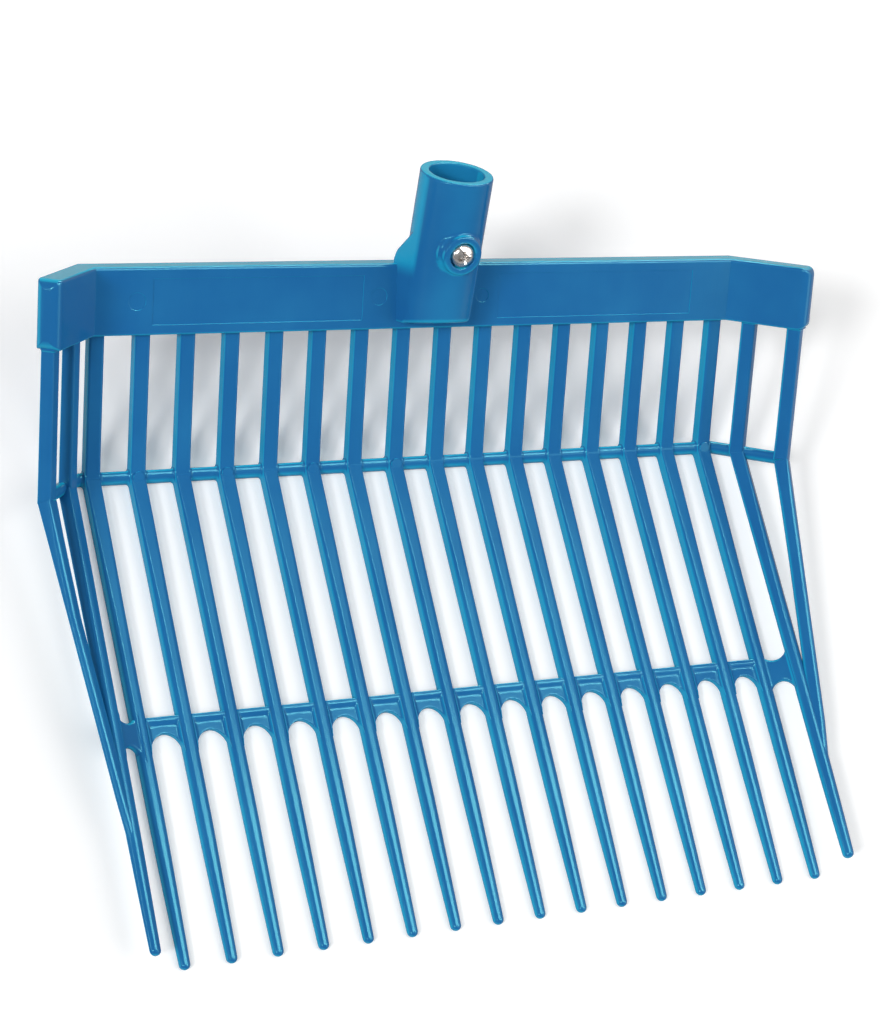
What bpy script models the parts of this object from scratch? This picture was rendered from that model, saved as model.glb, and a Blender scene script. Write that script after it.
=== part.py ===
"""Moulded bedding fork head, with the screw that holds its handle.

The head is one plastic moulding: a folded channel header with two wings, a
leaning handle socket, and a basket of tines tied by a knee bar and a toe bar.
A pan-head screw, a washer and a lock nut clamp the handle in the socket.

Everything is drawn upright, with the header standing and its lower edge at
Z = 0, and is then laid on the floor on the backs of its tines.
Lengths are metres, +X is across the head, and the tips point towards -Y.
"""

import math
from dataclasses import dataclass

import bmesh
import bpy
from mathutils import Matrix, Vector

MM = 0.001

# Basket of tines
TINE_PITCH = 22.0 * MM
CENTRAL_TINES = 16
TINE_WIDTH = 7.4 * MM
TINE_WAIST = 7.1 * MM
TIP_WIDTH = 4.9 * MM
BAR_DEPTH = 6.2 * MM
KNEE_DEPTH = 6.4 * MM
TIP_DEPTH = 3.4 * MM
EDGE_RADIUS = 0.8 * MM
CREST_RADIUS = 2.5 * MM
CREST_FLAT = 0.35 * MM
SIDE_FLAT = 0.5 * MM
BACK_RADIUS = 0.6 * MM
TIP_NOSE_RISE = 0.4
TIP_NOSE_DEPTH = 0.3
KNEE_DROP = 69.9 * MM
KNEE_ANGLE = math.radians(38.35)
TINE_LENGTH = 231.8 * MM
TAPER_FROM = 165.0 * MM
TINE_CONVERGENCE = 0.0078

# Folded wings
FOLD_HALF_WIDTH = 168.0 * MM
WING_ANGLE = math.radians(49.5)
WING_LENGTH = 41.6 * MM
WING_STEP = 1.2 * MM
WING_TINE_AT = 15.9 * MM
OUTER_BAR_AT = 39.8 * MM
WING_TINE_LENGTH = 218.0 * MM
WING_TINE_LEAN = 2.2 * MM
OUTER_BAR_RUN = 171.0 * MM
OUTER_BAR_WAIST = 7.1 * MM
OUTER_BAR_DEPTH = 3.7 * MM
OUTER_BAR_SLIM_BY = 0.35
OUTER_BAR_END_FROM = 0.86
OUTER_BAR_END_WIDTH = 5.2 * MM
OUTER_BAR_LIFT = 0.25 * MM

# Header channel
HEADER_HEIGHT = 31.5 * MM
HEADER_DEPTH = 11.6 * MM
HEADER_WALL = 3.5 * MM
HEADER_FLANGE = 3.2 * MM
HEADER_TOP_RADIUS = 1.6 * MM
HEADER_LOW_RADIUS = 1.0 * MM
HEADER_RIB = 3.0 * MM
END_WALL = 4.0 * MM
END_RADIUS = 3.2 * MM
BACK_STEP = 1.1 * MM
ROOT_DEPTH = 1.6 * MM
PANEL_INNER_X = 36.0 * MM
PANEL_OUTER_X = 143.0 * MM
PANEL_LOW_Z = 4.4 * MM
PANEL_HIGH_Z = 26.0 * MM
PANEL_SINK = 0.5 * MM

# Knee bar and toe bar
KNEE_BAR_HEIGHT = 5.2 * MM
KNEE_BAR_DEPTH = 5.9 * MM
KNEE_BAR_SHIFT = 0.3 * MM
KNEE_BAR_RADIUS = 1.9 * MM
KNEE_BAR_BACK_STEP = 1.3 * MM
TOE_BAR_AT = 118.0 * MM
TOE_WEB_HEIGHT = 7.6 * MM
TOE_WEB_DEPTH = 3.6 * MM
TOE_RIM_HEIGHT = 2.7 * MM
TOE_RIM_DEPTH = 4.6 * MM
WEB_BACK_STEP = 0.35 * MM
SLOT_OVERLAP = 0.4 * MM
SLOT_STRETCH = 1.3
WEB_BITE = 1.2 * MM
WEB_TOP_INSET = 0.2 * MM
WING_WEB_AT = 120.3 * MM
WING_WEB_HEIGHT = 11.4 * MM
WING_WEB_HOLLOW = 6.0 * MM

# Handle socket
SOCKET_RADIUS = 17.35 * MM
SOCKET_LEAN = math.radians(11.8)
SOCKET_AXIS_Y = -2.3 * MM
SOCKET_SIDES = 48
SOCKET_LENGTH = 79.2 * MM
SOCKET_FOOT = 3.2 * MM
SOCKET_FOOT_SLOPE = math.radians(9.0)
SOCKET_FOOT_RADIUS = 1.6 * MM
SOCKET_FOOT_CORNER = 0.3
HANDLE_RADIUS = 12.7 * MM
HANDLE_CLEARANCE = 0.35 * MM
BORE_FLOOR = 8.0 * MM
GUSSET_FOOT_STEP = 0.4 * MM
GUSSET_SPLAY = math.radians(9.0)
GUSSET_BACK_Y = 4.2 * MM
GUSSET_BACK_RISE = 1.8 * MM
GUSSET_NOSE_Y = 1.6 * MM
GUSSET_NOSE_Z = 38.2 * MM
GUSSET_TOP_Y = -11.5 * MM
GUSSET_TOP_Z = 49.0 * MM
GUSSET_RADIUS = 1.2 * MM

# Screw and its bosses
SCREW_AT = 45.0 * MM
SCREW_RADIUS = 3.0 * MM
SCREW_LENGTH = 45.0 * MM
SCREW_HOLE_CLEARANCE = 0.3 * MM
SCREW_HEAD_RADIUS = 6.0 * MM
SCREW_HEAD_HEIGHT = 4.6 * MM
SCREW_HEAD_BRIM = 0.5 * MM
SCREW_TIP_CHAMFER = 0.8 * MM
CROSS_RECESS_LENGTH = 6.0 * MM
CROSS_RECESS_WIDTH = 1.4 * MM
CROSS_RECESS_DEPTH = 2.4 * MM
CROSS_RECESS_TAPER = 0.55
FRONT_BOSS_RADIUS = 9.6 * MM
FRONT_BOSS_ROOT = 11.8 * MM
FRONT_BOSS_BURIED = 10.0 * MM
FRONT_BOSS_REACH = 19.8 * MM
FRONT_BOSS_SINK = 2.6 * MM
FRONT_SINK_RADIUS = 6.8 * MM
REAR_BOSS_RADIUS = 8.5 * MM
REAR_BOSS_REACH = 18.3 * MM
WASHER_RADIUS = 6.0 * MM
WASHER_THICKNESS = 1.6 * MM
WASHER_EDGE = 0.25 * MM
NUT_ACROSS_FLATS = 10.0 * MM
NUT_HEIGHT = 6.0 * MM
NUT_HEX_HEIGHT = 4.4 * MM
NUT_COLLAR_RADIUS = 4.75 * MM
INSERT_RADIUS = 4.2 * MM
INSERT_HEIGHT = 1.3 * MM
SEAT_GAP = 0.3 * MM
SOCKET_BLOCK_HALF = 20.0 * MM
CUTTER_PAST = 5.0 * MM

# Values worked out from the sizes above
SHEET_BACK = HEADER_DEPTH - BACK_STEP
BACK_FOLD = FOLD_HALF_WIDTH + SHEET_BACK * math.tan(WING_ANGLE / 2)
BORE_RADIUS = HANDLE_RADIUS + HANDLE_CLEARANCE
SCREW_HOLE_RADIUS = SCREW_RADIUS + SCREW_HOLE_CLEARANCE
UP = Vector((0.0, 0.0, 1.0))
ACROSS = Vector((1.0, 0.0, 0.0))
FORWARD = Vector((0.0, -1.0, 0.0))
TINE_RUN = Vector((0.0, -math.sin(KNEE_ANGLE), -math.cos(KNEE_ANGLE)))
TINE_FACE = Vector((0.0, -math.cos(KNEE_ANGLE), math.sin(KNEE_ANGLE)))
SOCKET_AXIS = Vector((0.0, -math.sin(SOCKET_LEAN), math.cos(SOCKET_LEAN)))
SCREW_AXIS = Vector((0.0, -math.cos(SOCKET_LEAN), -math.sin(SOCKET_LEAN)))


@dataclass(frozen=True)
class Run:
    """A straight run of the sheet: a start on its back face and three directions."""

    start: Vector
    along: Vector
    across: Vector
    front: Vector

    def point(self, distance, side, rise):
        """Return the point at a distance along, to a side, and in front of the back face."""
        return self.start + self.along * distance + self.across * side + self.front * rise


def clear_scene():
    """Remove every object of the open scene."""
    for old in list(bpy.data.objects):
        bpy.data.objects.remove(old, do_unlink=True)


def plain_material(name, color, roughness, metallic):
    """Return a Principled material."""
    material = bpy.data.materials.new(name)
    material.use_nodes = True
    shader = material.node_tree.nodes["Principled BSDF"]
    shader.inputs["Base Color"].default_value = (*color, 1.0)
    shader.inputs["Roughness"].default_value = roughness
    shader.inputs["Metallic"].default_value = metallic
    return material


def mix(low, high, share):
    """Return the value at a share of the way from low to high."""
    return low + (high - low) * share


def wing_direction(side):
    """Return the level direction in which a wing leaves its fold."""
    return Vector((side * math.cos(WING_ANGLE), -math.sin(WING_ANGLE), 0.0))


def knee_point(offset, side):
    """Return a knee line point on the back face, at an offset past the fold."""
    fold = Vector((side * BACK_FOLD, SHEET_BACK, -KNEE_DROP))
    level = wing_direction(side)
    return fold + level * offset + face_normal(level, UP) * WING_STEP


def face_normal(across, along):
    """Return the unit normal of two directions that faces the front of the basket."""
    normal = across.cross(along).normalized()
    return normal if normal.y < 0 else -normal


def arc(centre, radius, first, last, steps):
    """Return the points of an arc, with its angles in degrees."""
    points = []
    for step in range(steps + 1):
        angle = math.radians(mix(first, last, step / steps))
        points.append((centre[0] + radius * math.cos(angle), centre[1] + radius * math.sin(angle)))
    return points


def tine_section(width, depth, crest):
    """Return a tine's section as (side, rise) points, flat backed with a round crest."""
    crest = min(crest, width / 2 - CREST_FLAT, depth - BACK_RADIUS - SIDE_FLAT)
    half = width / 2
    points = arc((half - BACK_RADIUS, BACK_RADIUS), BACK_RADIUS, -90, 0, 1)
    points += arc((half - crest, depth - crest), crest, 0, 90, 3)
    points += arc((crest - half, depth - crest), crest, 90, 180, 3)
    points += arc((BACK_RADIUS - half, BACK_RADIUS), BACK_RADIUS, 180, 270, 1)
    return points


def add_loft(mesh, loops):
    """Add a closed solid that joins a list of equal rings of points."""
    rings = [[mesh.verts.new(point) for point in loop] for loop in loops]
    faces = [mesh.faces.new(rings[0]), mesh.faces.new(rings[-1])]
    for lower, upper in zip(rings, rings[1:]):
        for index in range(len(lower)):
            after = (index + 1) % len(lower)
            faces.append(mesh.faces.new((lower[index], lower[after], upper[after], upper[index])))
    bmesh.ops.recalc_face_normals(mesh, faces=faces)
    return faces


def add_prism(mesh, outline, start, end):
    """Add a prism on an outline of points, from one offset to another."""
    return add_loft(mesh, [[point + start for point in outline], [point + end for point in outline]])


def add_cylinder(mesh, start, end, radius, sides, end_radius=None):
    """Add a cylinder or a cone between two points."""
    axis = (end - start).normalized()
    across = ACROSS - axis * axis.dot(ACROSS)
    if across.length < 0.5:
        across = UP - axis * axis.dot(UP)
    across.normalize()
    other = axis.cross(across)
    loops = []
    for centre, reach in ((start, radius), (end, radius if end_radius is None else end_radius)):
        turns = [math.tau * step / sides for step in range(sides)]
        loops.append([centre + (across * math.cos(t) + other * math.sin(t)) * reach for t in turns])
    return add_loft(mesh, loops)


def finish_object(name, mesh, material, parent=None):
    """Turn a bmesh into a smooth-shaded object under its parent."""
    data = bpy.data.meshes.new(name)
    mesh.to_mesh(data)
    mesh.free()
    data.materials.append(material)
    data.shade_smooth()
    data.set_sharp_from_angle(angle=math.radians(32))
    piece = bpy.data.objects.new(name, data)
    bpy.context.collection.objects.link(piece)
    piece.parent = parent
    return piece


def hide_helper(piece):
    """Mark a Boolean operand, which is no piece of the fork."""
    piece.hide_render = True
    piece.display_type = "WIRE"


def boolean(piece, operand, operation):
    """Join an operand to a piece, or cut it away, with the exact solver."""
    modifier = piece.modifiers.new(operand.name, "BOOLEAN")
    modifier.operation = operation
    modifier.solver = "EXACT"
    modifier.use_self = True
    modifier.object = operand
    hide_helper(operand)


def mitre(upper, lower):
    """Return the direction, per unit of depth, in which two folded faces meet."""
    return (upper.front + lower.front) / (1 + upper.front.dot(lower.front))


def upper_loops(upper, lower):
    """Return a bar's rings from inside the header down to the knee."""
    loops = []
    for height in (KNEE_DROP + ROOT_DEPTH, KNEE_DROP / 2):
        depth = mix(KNEE_DEPTH, BAR_DEPTH, min(height / KNEE_DROP, 1.0))
        section = tine_section(TINE_WIDTH, depth, EDGE_RADIUS)
        loops.append([upper.point(height, side, rise) for side, rise in section])
    meeting = mitre(upper, lower)
    section = tine_section(TINE_WIDTH, KNEE_DEPTH, EDGE_RADIUS)
    loops.append([upper.start + upper.across * side + meeting * rise for side, rise in section])
    return loops


def lower_section(distance):
    """Return a tine's section at a distance below the knee."""
    crest = mix(EDGE_RADIUS, CREST_RADIUS, min(distance / TOE_BAR_AT, 1.0))
    depth = mix(KNEE_DEPTH, TIP_DEPTH, (distance / TINE_LENGTH) ** 2)
    width = mix(TINE_WIDTH, TINE_WAIST, min(distance / TAPER_FROM, 1.0))
    taper = max(distance - TAPER_FROM, 0.0) / (TINE_LENGTH - TAPER_FROM)
    return tine_section(mix(width, TIP_WIDTH, taper ** 1.5), depth, crest)


def lower_loops(lower, length):
    """Return a tine's rings from just below the knee to its rounded tip."""
    radius = TIP_WIDTH / 2
    straight = length - radius
    loops = []
    for share in (0.05, 0.4, 0.72, 0.82, 0.91, 1.0):
        distance = straight * share
        loops.append([lower.point(distance, side, rise) for side, rise in lower_section(distance)])
    middle = TIP_DEPTH * TIP_NOSE_RISE
    for degrees in (30, 55, 75, 88):
        reach = straight + radius * math.sin(math.radians(degrees))
        narrow = math.cos(math.radians(degrees))
        low = mix(TIP_NOSE_DEPTH, 1.0, narrow)
        ring = []
        for side, rise in lower_section(straight):
            ring.append(lower.point(reach, side * narrow, middle + (rise - middle) * low))
        loops.append(ring)
    return loops


def outer_bar_loops(lower, length):
    """Return the outer bar's rings from just below the knee to its end in the wing tine."""
    loops = []
    for share in (0.05, OUTER_BAR_SLIM_BY, 0.65, OUTER_BAR_END_FROM, 1.0):
        slim = min(share / OUTER_BAR_SLIM_BY, 1.0)
        sunk = max(share - OUTER_BAR_END_FROM, 0.0) / (1 - OUTER_BAR_END_FROM)
        width = mix(mix(TINE_WIDTH, OUTER_BAR_WAIST, slim), OUTER_BAR_END_WIDTH, sunk)
        section = tine_section(width, mix(KNEE_DEPTH, OUTER_BAR_DEPTH, slim), EDGE_RADIUS)
        loops.append([lower.point(length * share, side, OUTER_BAR_LIFT + rise) for side, rise in section])
    return loops


def central_runs(x):
    """Return the upper and lower runs of a tine in the flat middle of the head."""
    knee = Vector((x, SHEET_BACK, -KNEE_DROP))
    along = (TINE_RUN - ACROSS * (x * TINE_CONVERGENCE / TINE_LENGTH)).normalized()
    across = TINE_FACE.cross(along)
    return Run(knee, UP, ACROSS, FORWARD), Run(knee, along, across, TINE_FACE)


def wing_runs(offset, side, end):
    """Return the runs of a wing tine whose lower run points at the given end."""
    knee = knee_point(offset, side)
    level = wing_direction(side)
    face = face_normal(level, TINE_RUN)
    along = (end - knee).normalized()
    across = along.cross(face).normalized()
    if across.dot(level) < 0:
        across = -across
    return Run(knee, UP, level, face_normal(level, UP)), Run(knee, along, across, face)


def add_tines(mesh):
    """Add the central tines and both wings' tines."""
    for index in range(CENTRAL_TINES):
        upper, lower = central_runs(tine_x(index))
        add_loft(mesh, upper_loops(upper, lower) + lower_loops(lower, TINE_LENGTH))
    for side in (-1, 1):
        upper_end = knee_point(WING_TINE_AT, side)
        tip = upper_end + TINE_RUN * WING_TINE_LENGTH - ACROSS * side * WING_TINE_LEAN
        upper, lower = wing_runs(WING_TINE_AT, side, tip)
        add_loft(mesh, upper_loops(upper, lower) + lower_loops(lower, WING_TINE_LENGTH))
        join = upper_end.lerp(tip, OUTER_BAR_RUN / WING_TINE_LENGTH)
        upper, lower = wing_runs(OUTER_BAR_AT, side, join)
        length = (join - lower.start).length
        add_loft(mesh, upper_loops(upper, lower) + outer_bar_loops(lower, length))


def tine_x(index):
    """Return the X of a central tine, counted from the left."""
    return (index - (CENTRAL_TINES - 1) / 2) * TINE_PITCH


def wing_point(side, reach, rise, height):
    """Return a point of a wing, reach past the front fold and rise in front of its face."""
    level = wing_direction(side)
    fold = Vector((side * FOLD_HALF_WIDTH, 0.0, height))
    return fold + level * reach + face_normal(level, UP) * rise


def folded_loops(section, ends):
    """Return rings of a (rise, height) section swept from one wing to the other.

    Each of the ends is how far past the fold a ring lies and how much smaller it
    is there on every side. The rings on the fold lines are mitred.
    """
    rises = [rise for rise, _ in section]
    heights = [height for _, height in section]
    half_rise = (max(rises) - min(rises)) / 2
    half_height = (max(heights) - min(heights)) / 2
    middle_rise = (max(rises) + min(rises)) / 2
    middle_height = (max(heights) + min(heights)) / 2
    wings = []
    for side in (-1, 1):
        fold = [Vector((side * (FOLD_HALF_WIDTH - rise * math.tan(WING_ANGLE / 2)), -rise, height))
                for rise, height in section]
        rings = [fold]
        for reach, inset in ends:
            rings.append([wing_point(side, reach,
                                     middle_rise + (rise - middle_rise) * (1 - inset / half_rise),
                                     middle_height + (height - middle_height) * (1 - inset / half_height))
                          for rise, height in section])
        wings.append(rings)
    return wings[0][::-1] + wings[1]


def make_header(material):
    """Return the folded header with its pockets, which are open at the back."""
    low = arc((-HEADER_LOW_RADIUS, HEADER_LOW_RADIUS), HEADER_LOW_RADIUS, -90, 0, 2)
    top = HEADER_HEIGHT - HEADER_TOP_RADIUS
    high = arc((-HEADER_TOP_RADIUS, top), HEADER_TOP_RADIUS, 0, 90, 3)
    behind = arc((HEADER_LOW_RADIUS - HEADER_DEPTH, HEADER_HEIGHT - HEADER_LOW_RADIUS),
                 HEADER_LOW_RADIUS, 90, 180, 2)
    section = low + high + behind + [(-HEADER_DEPTH, 0.0)]
    ends = []
    for degrees in (0, 30, 60, 90):
        turn = math.radians(degrees)
        ends.append((WING_LENGTH - END_RADIUS * (1 - math.sin(turn)), END_RADIUS * (1 - math.cos(turn))))
    mesh = bmesh.new()
    add_loft(mesh, folded_loops(section, ends))
    header = finish_object("fork_head", mesh, material)
    boolean(header, make_header_pockets(material), "DIFFERENCE")
    return header


def make_header_pockets(material):
    """Return the cutter of the pockets between the header's ribs, one rib over each tine."""
    mesh = bmesh.new()
    half_rib = HEADER_RIB / 2
    deep = HEADER_DEPTH + HEADER_WALL
    rib_at = WING_TINE_AT - SHEET_BACK * math.tan(WING_ANGLE / 2)
    fold = math.tan(WING_ANGLE / 2)
    height = HEADER_HEIGHT - 2 * HEADER_FLANGE
    for side in (-1, 1):
        outlines = []
        for index in range(CENTRAL_TINES // 2, CENTRAL_TINES - 1):
            near = max(tine_x(index), SOCKET_RADIUS) + half_rib
            far = tine_x(index + 1) - half_rib
            outlines.append([Vector((side * x, y, HEADER_FLANGE)) for x, y in
                             ((near, HEADER_WALL), (far, HEADER_WALL), (far, deep), (near, deep))])
        last = tine_x(CENTRAL_TINES - 1) + half_rib
        corners = [Vector((side * x, y, HEADER_FLANGE)) for x, y in
                   ((last, deep), (last, HEADER_WALL),
                    (FOLD_HALF_WIDTH + HEADER_WALL * fold, HEADER_WALL))]
        corners.append(wing_point(side, rib_at - half_rib, -HEADER_WALL, HEADER_FLANGE))
        corners.append(wing_point(side, rib_at - half_rib, -deep, HEADER_FLANGE))
        corners.append(Vector((side * (FOLD_HALF_WIDTH + deep * fold), deep, HEADER_FLANGE)))
        outlines.append(corners)
        outlines.append([wing_point(side, reach, rise, HEADER_FLANGE) for reach, rise in
                         ((rib_at + half_rib, -HEADER_WALL), (WING_LENGTH - END_WALL, -HEADER_WALL),
                          (WING_LENGTH - END_WALL, -deep), (rib_at + half_rib, -deep))])
        for outline in outlines:
            add_prism(mesh, outline, Vector(), UP * height)
    return finish_object("header_pockets", mesh, material)


def add_box(mesh, low, high):
    """Add a box between two corners and return its faces."""
    outline = [Vector((x, y, low[2])) for x, y in
               ((low[0], low[1]), (high[0], low[1]), (high[0], high[1]), (low[0], high[1]))]
    return add_prism(mesh, outline, Vector(), UP * (high[2] - low[2]))


def bevel_faces(mesh, faces, radius, steps):
    """Round the edges of some faces."""
    edges = list({edge for face in faces for edge in face.edges})
    bmesh.ops.bevel(mesh, geom=edges, offset=radius, segments=steps, affect="EDGES", profile=0.5)


def add_knee_bar(mesh):
    """Add the bar that ties the tines at the knee and folds round into both wings."""
    tilt = KNEE_ANGLE / 2
    half = KNEE_BAR_HEIGHT / 2
    corner = half - KNEE_BAR_RADIUS
    crest = KNEE_BAR_DEPTH - KNEE_BAR_RADIUS
    outline = [(-half, KNEE_BAR_BACK_STEP), (half, KNEE_BAR_BACK_STEP)]
    outline += arc((corner, crest), KNEE_BAR_RADIUS, 0, 90, 2)
    outline += arc((-corner, crest), KNEE_BAR_RADIUS, 90, 180, 2)
    section = []
    for height, rise in outline:
        height -= KNEE_BAR_SHIFT
        forward = rise * math.cos(tilt) - height * math.sin(tilt)
        section.append((forward - SHEET_BACK, height * math.cos(tilt) + rise * math.sin(tilt) - KNEE_DROP))
    reach = OUTER_BAR_AT - SHEET_BACK * math.tan(WING_ANGLE / 2)
    add_loft(mesh, folded_loops(section, [(reach, 0.0)]))


def web_outline(width, half, top, height, dip):
    """Return a web between two tines as (across, distance), with its slot's round end.

    Width is the tines' spacing, half is half the width of a tine, and a dip
    leaves the top edge hollow as well.
    """
    left = half - WEB_BITE
    right = width - left
    middle = width / 2
    radius = middle - half
    spring = top + height + radius * SLOT_STRETCH
    outline = [(left, top - dip)]
    if dip:
        outline += arc((middle, top - radius), radius, 170, 10, 8)
    outline += [(right, top - dip), (right, spring)]
    outline += [(x, spring + (y - spring) * SLOT_STRETCH)
                for x, y in arc((middle, spring), radius, 0, -180, 10)]
    outline.append((left, spring))
    return outline


def add_toe_bar(mesh):
    """Add the toe bar: a web with round slot ends between the tines, and its straight rim."""
    half = lower_section(TOE_BAR_AT)[2][0] - SLOT_OVERLAP
    drawn_in = 1 - TINE_CONVERGENCE * TOE_BAR_AT / TINE_LENGTH
    knee = Vector((0.0, SHEET_BACK, -KNEE_DROP))
    sheet = Run(knee, TINE_RUN, ACROSS, TINE_FACE)
    for index in range(CENTRAL_TINES - 1):
        left = tine_x(index) * drawn_in
        width = TINE_PITCH * drawn_in
        outline = web_outline(width, half, TOE_BAR_AT + WEB_TOP_INSET, TOE_WEB_HEIGHT, 0.0)
        flat = [sheet.point(distance, left + across, 0.0) for across, distance in outline]
        add_prism(mesh, flat, TINE_FACE * WEB_BACK_STEP, TINE_FACE * TOE_WEB_DEPTH)
    end = tine_x(CENTRAL_TINES - 1) * drawn_in
    rim = [sheet.point(TOE_BAR_AT + distance, across, 0.0) for across, distance in
           ((-end, 0.0), (end, 0.0), (end, TOE_RIM_HEIGHT), (-end, TOE_RIM_HEIGHT))]
    add_prism(mesh, rim, TINE_FACE * 2 * WEB_BACK_STEP, TINE_FACE * TOE_RIM_DEPTH)


def add_wing_webs(mesh):
    """Add the web that ties each wing tine to the last central tine."""
    half = lower_section(WING_WEB_AT)[2][0] - SLOT_OVERLAP
    drawn_in = 1 - TINE_CONVERGENCE * WING_WEB_AT / TINE_LENGTH
    for side in (-1, 1):
        start = Vector((side * tine_x(CENTRAL_TINES - 1) * drawn_in, SHEET_BACK, -KNEE_DROP))
        lean = ACROSS * side * WING_TINE_LEAN * WING_WEB_AT / WING_TINE_LENGTH
        end = knee_point(WING_TINE_AT, side) - lean
        end -= TINE_RUN * (end - start).dot(TINE_RUN)
        across = (end - start).normalized()
        front = face_normal(across, TINE_RUN)
        lower = Run(start, TINE_RUN, across, front)
        width = (end - start).length
        outline = web_outline(width, half, WING_WEB_AT, WING_WEB_HEIGHT, WING_WEB_HOLLOW)
        flat = [lower.point(distance, x, 0.0) for x, distance in outline]
        add_prism(mesh, flat, front * 2 * WEB_BACK_STEP, front * TOE_WEB_DEPTH)


def socket_point(distance):
    """Return the point of the socket's axis at a distance up from the header's lower edge."""
    return Vector((0.0, SOCKET_AXIS_Y, 0.0)) + SOCKET_AXIS * distance


def socket_foot_ring(radius, lift):
    """Return a ring of the socket's foot, cut by a plane that rises towards the front."""
    slope = math.tan(SOCKET_FOOT_SLOPE)
    sideways = Vector((0.0, math.cos(SOCKET_LEAN), math.sin(SOCKET_LEAN)))
    ring = []
    for step in range(SOCKET_SIDES):
        angle = math.tau * step / SOCKET_SIDES
        spot = socket_point(0.0) + (ACROSS * math.cos(angle) + sideways * math.sin(angle)) * radius
        level = SOCKET_FOOT + lift - slope * spot.y
        climb = (level - spot.z) / (SOCKET_AXIS.z + slope * SOCKET_AXIS.y)
        ring.append(spot + SOCKET_AXIS * climb)
    return ring


def add_socket(mesh):
    """Add the socket's tube, its splayed gusset and both screw bosses."""
    rings = [socket_foot_ring(SOCKET_RADIUS - SOCKET_FOOT_RADIUS, 0.0),
             socket_foot_ring(SOCKET_RADIUS - SOCKET_FOOT_CORNER * SOCKET_FOOT_RADIUS,
                              SOCKET_FOOT_CORNER * SOCKET_FOOT_RADIUS),
             socket_foot_ring(SOCKET_RADIUS, SOCKET_FOOT_RADIUS)]
    rings.append([point + SOCKET_AXIS * (SOCKET_LENGTH - (point - socket_point(0.0)).dot(SOCKET_AXIS))
                  for point in rings[-1]])
    add_loft(mesh, rings)
    lean = math.tan(SOCKET_LEAN)
    foot = SOCKET_FOOT + GUSSET_FOOT_STEP
    rear_top = HEADER_HEIGHT + GUSSET_BACK_RISE
    tangent = SOCKET_AXIS_Y - SOCKET_RADIUS * math.sin(GUSSET_SPLAY)
    profile = ((tangent - lean * foot, foot), (GUSSET_BACK_Y, foot), (GUSSET_BACK_Y, rear_top),
               (GUSSET_NOSE_Y, GUSSET_NOSE_Z), (GUSSET_TOP_Y, GUSSET_TOP_Z),
               (tangent - lean * GUSSET_TOP_Z, GUSSET_TOP_Z))
    loops = []
    for side in (-1, 1):
        ring = []
        for y, z in profile:
            behind = y - (SOCKET_AXIS_Y - lean * z)
            half = (SOCKET_RADIUS + behind * math.sin(GUSSET_SPLAY)) / math.cos(GUSSET_SPLAY)
            ring.append(Vector((side * half, y, z)))
        loops.append(ring)
    bevel_faces(mesh, add_loft(mesh, loops), GUSSET_RADIUS, 2)
    centre = socket_point(SCREW_AT)
    add_cylinder(mesh, centre + SCREW_AXIS * FRONT_BOSS_BURIED, centre + SCREW_AXIS * FRONT_BOSS_REACH,
                 FRONT_BOSS_ROOT, 40, FRONT_BOSS_RADIUS)
    add_cylinder(mesh, centre, centre - SCREW_AXIS * REAR_BOSS_REACH, REAR_BOSS_RADIUS, 32)


def make_socket_cuts(material):
    """Return the cutter of the handle's bore and of the header's blank panels."""
    mesh = bmesh.new()
    mouth = socket_point(SOCKET_LENGTH + CUTTER_PAST)
    add_cylinder(mesh, socket_point(BORE_FLOOR), mouth, BORE_RADIUS, SOCKET_SIDES)
    for side in (-1, 1):
        low_x, high_x = sorted((side * PANEL_INNER_X, side * PANEL_OUTER_X))
        add_box(mesh, (low_x, -CUTTER_PAST, PANEL_LOW_Z), (high_x, PANEL_SINK, PANEL_HIGH_Z))
    return finish_object("socket_cuts", mesh, material)


def make_screw_cut(material):
    """Return the cutter of the screw's hole and of the sunk seat of its head."""
    mesh = bmesh.new()
    sides = 32
    centre = socket_point(SCREW_AT)
    other = SCREW_AXIS.cross(ACROSS)
    loops = []
    for reach, radius in ((-REAR_BOSS_REACH - CUTTER_PAST, SCREW_HOLE_RADIUS),
                          (FRONT_BOSS_REACH - FRONT_BOSS_SINK, SCREW_HOLE_RADIUS),
                          (FRONT_BOSS_REACH - FRONT_BOSS_SINK, FRONT_SINK_RADIUS),
                          (FRONT_BOSS_REACH + CUTTER_PAST, FRONT_SINK_RADIUS)):
        turns = [math.tau * (step + 0.5) / sides for step in range(sides)]
        loops.append([centre + SCREW_AXIS * reach + (ACROSS * math.cos(t) + other * math.sin(t)) * radius
                      for t in turns])
    add_loft(mesh, loops)
    return finish_object("screw_cut", mesh, material)


def make_block_cut(name, half_width, foot, material):
    """Return a box round the header's middle, which carries the handle socket."""
    mesh = bmesh.new()
    reach = SOCKET_LENGTH + CUTTER_PAST
    add_box(mesh, (-half_width, -reach, foot), (half_width, reach, reach))
    return finish_object(name, mesh, material)


def make_fork_head(plastic):
    """Build the moulding, whose middle with the handle socket is a solid of its own."""
    head = make_header(plastic)
    mesh = bmesh.new()
    add_tines(mesh)
    add_knee_bar(mesh)
    add_toe_bar(mesh)
    add_wing_webs(mesh)
    add_socket(mesh)
    boolean(head, finish_object("moulding_stock", mesh, plastic), "UNION")
    boolean(head, make_socket_cuts(plastic), "DIFFERENCE")
    boolean(head, make_screw_cut(plastic), "DIFFERENCE")
    socket = head.copy()
    socket.data = head.data.copy()
    socket.name = "handle_socket"
    bpy.context.collection.objects.link(socket)
    wide = SOCKET_BLOCK_HALF + SEAT_GAP
    boolean(head, make_block_cut("block_room", wide, -SEAT_GAP, plastic), "DIFFERENCE")
    boolean(socket, make_block_cut("block_limit", SOCKET_BLOCK_HALF, 0.0, plastic), "INTERSECT")
    return head, socket


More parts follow.
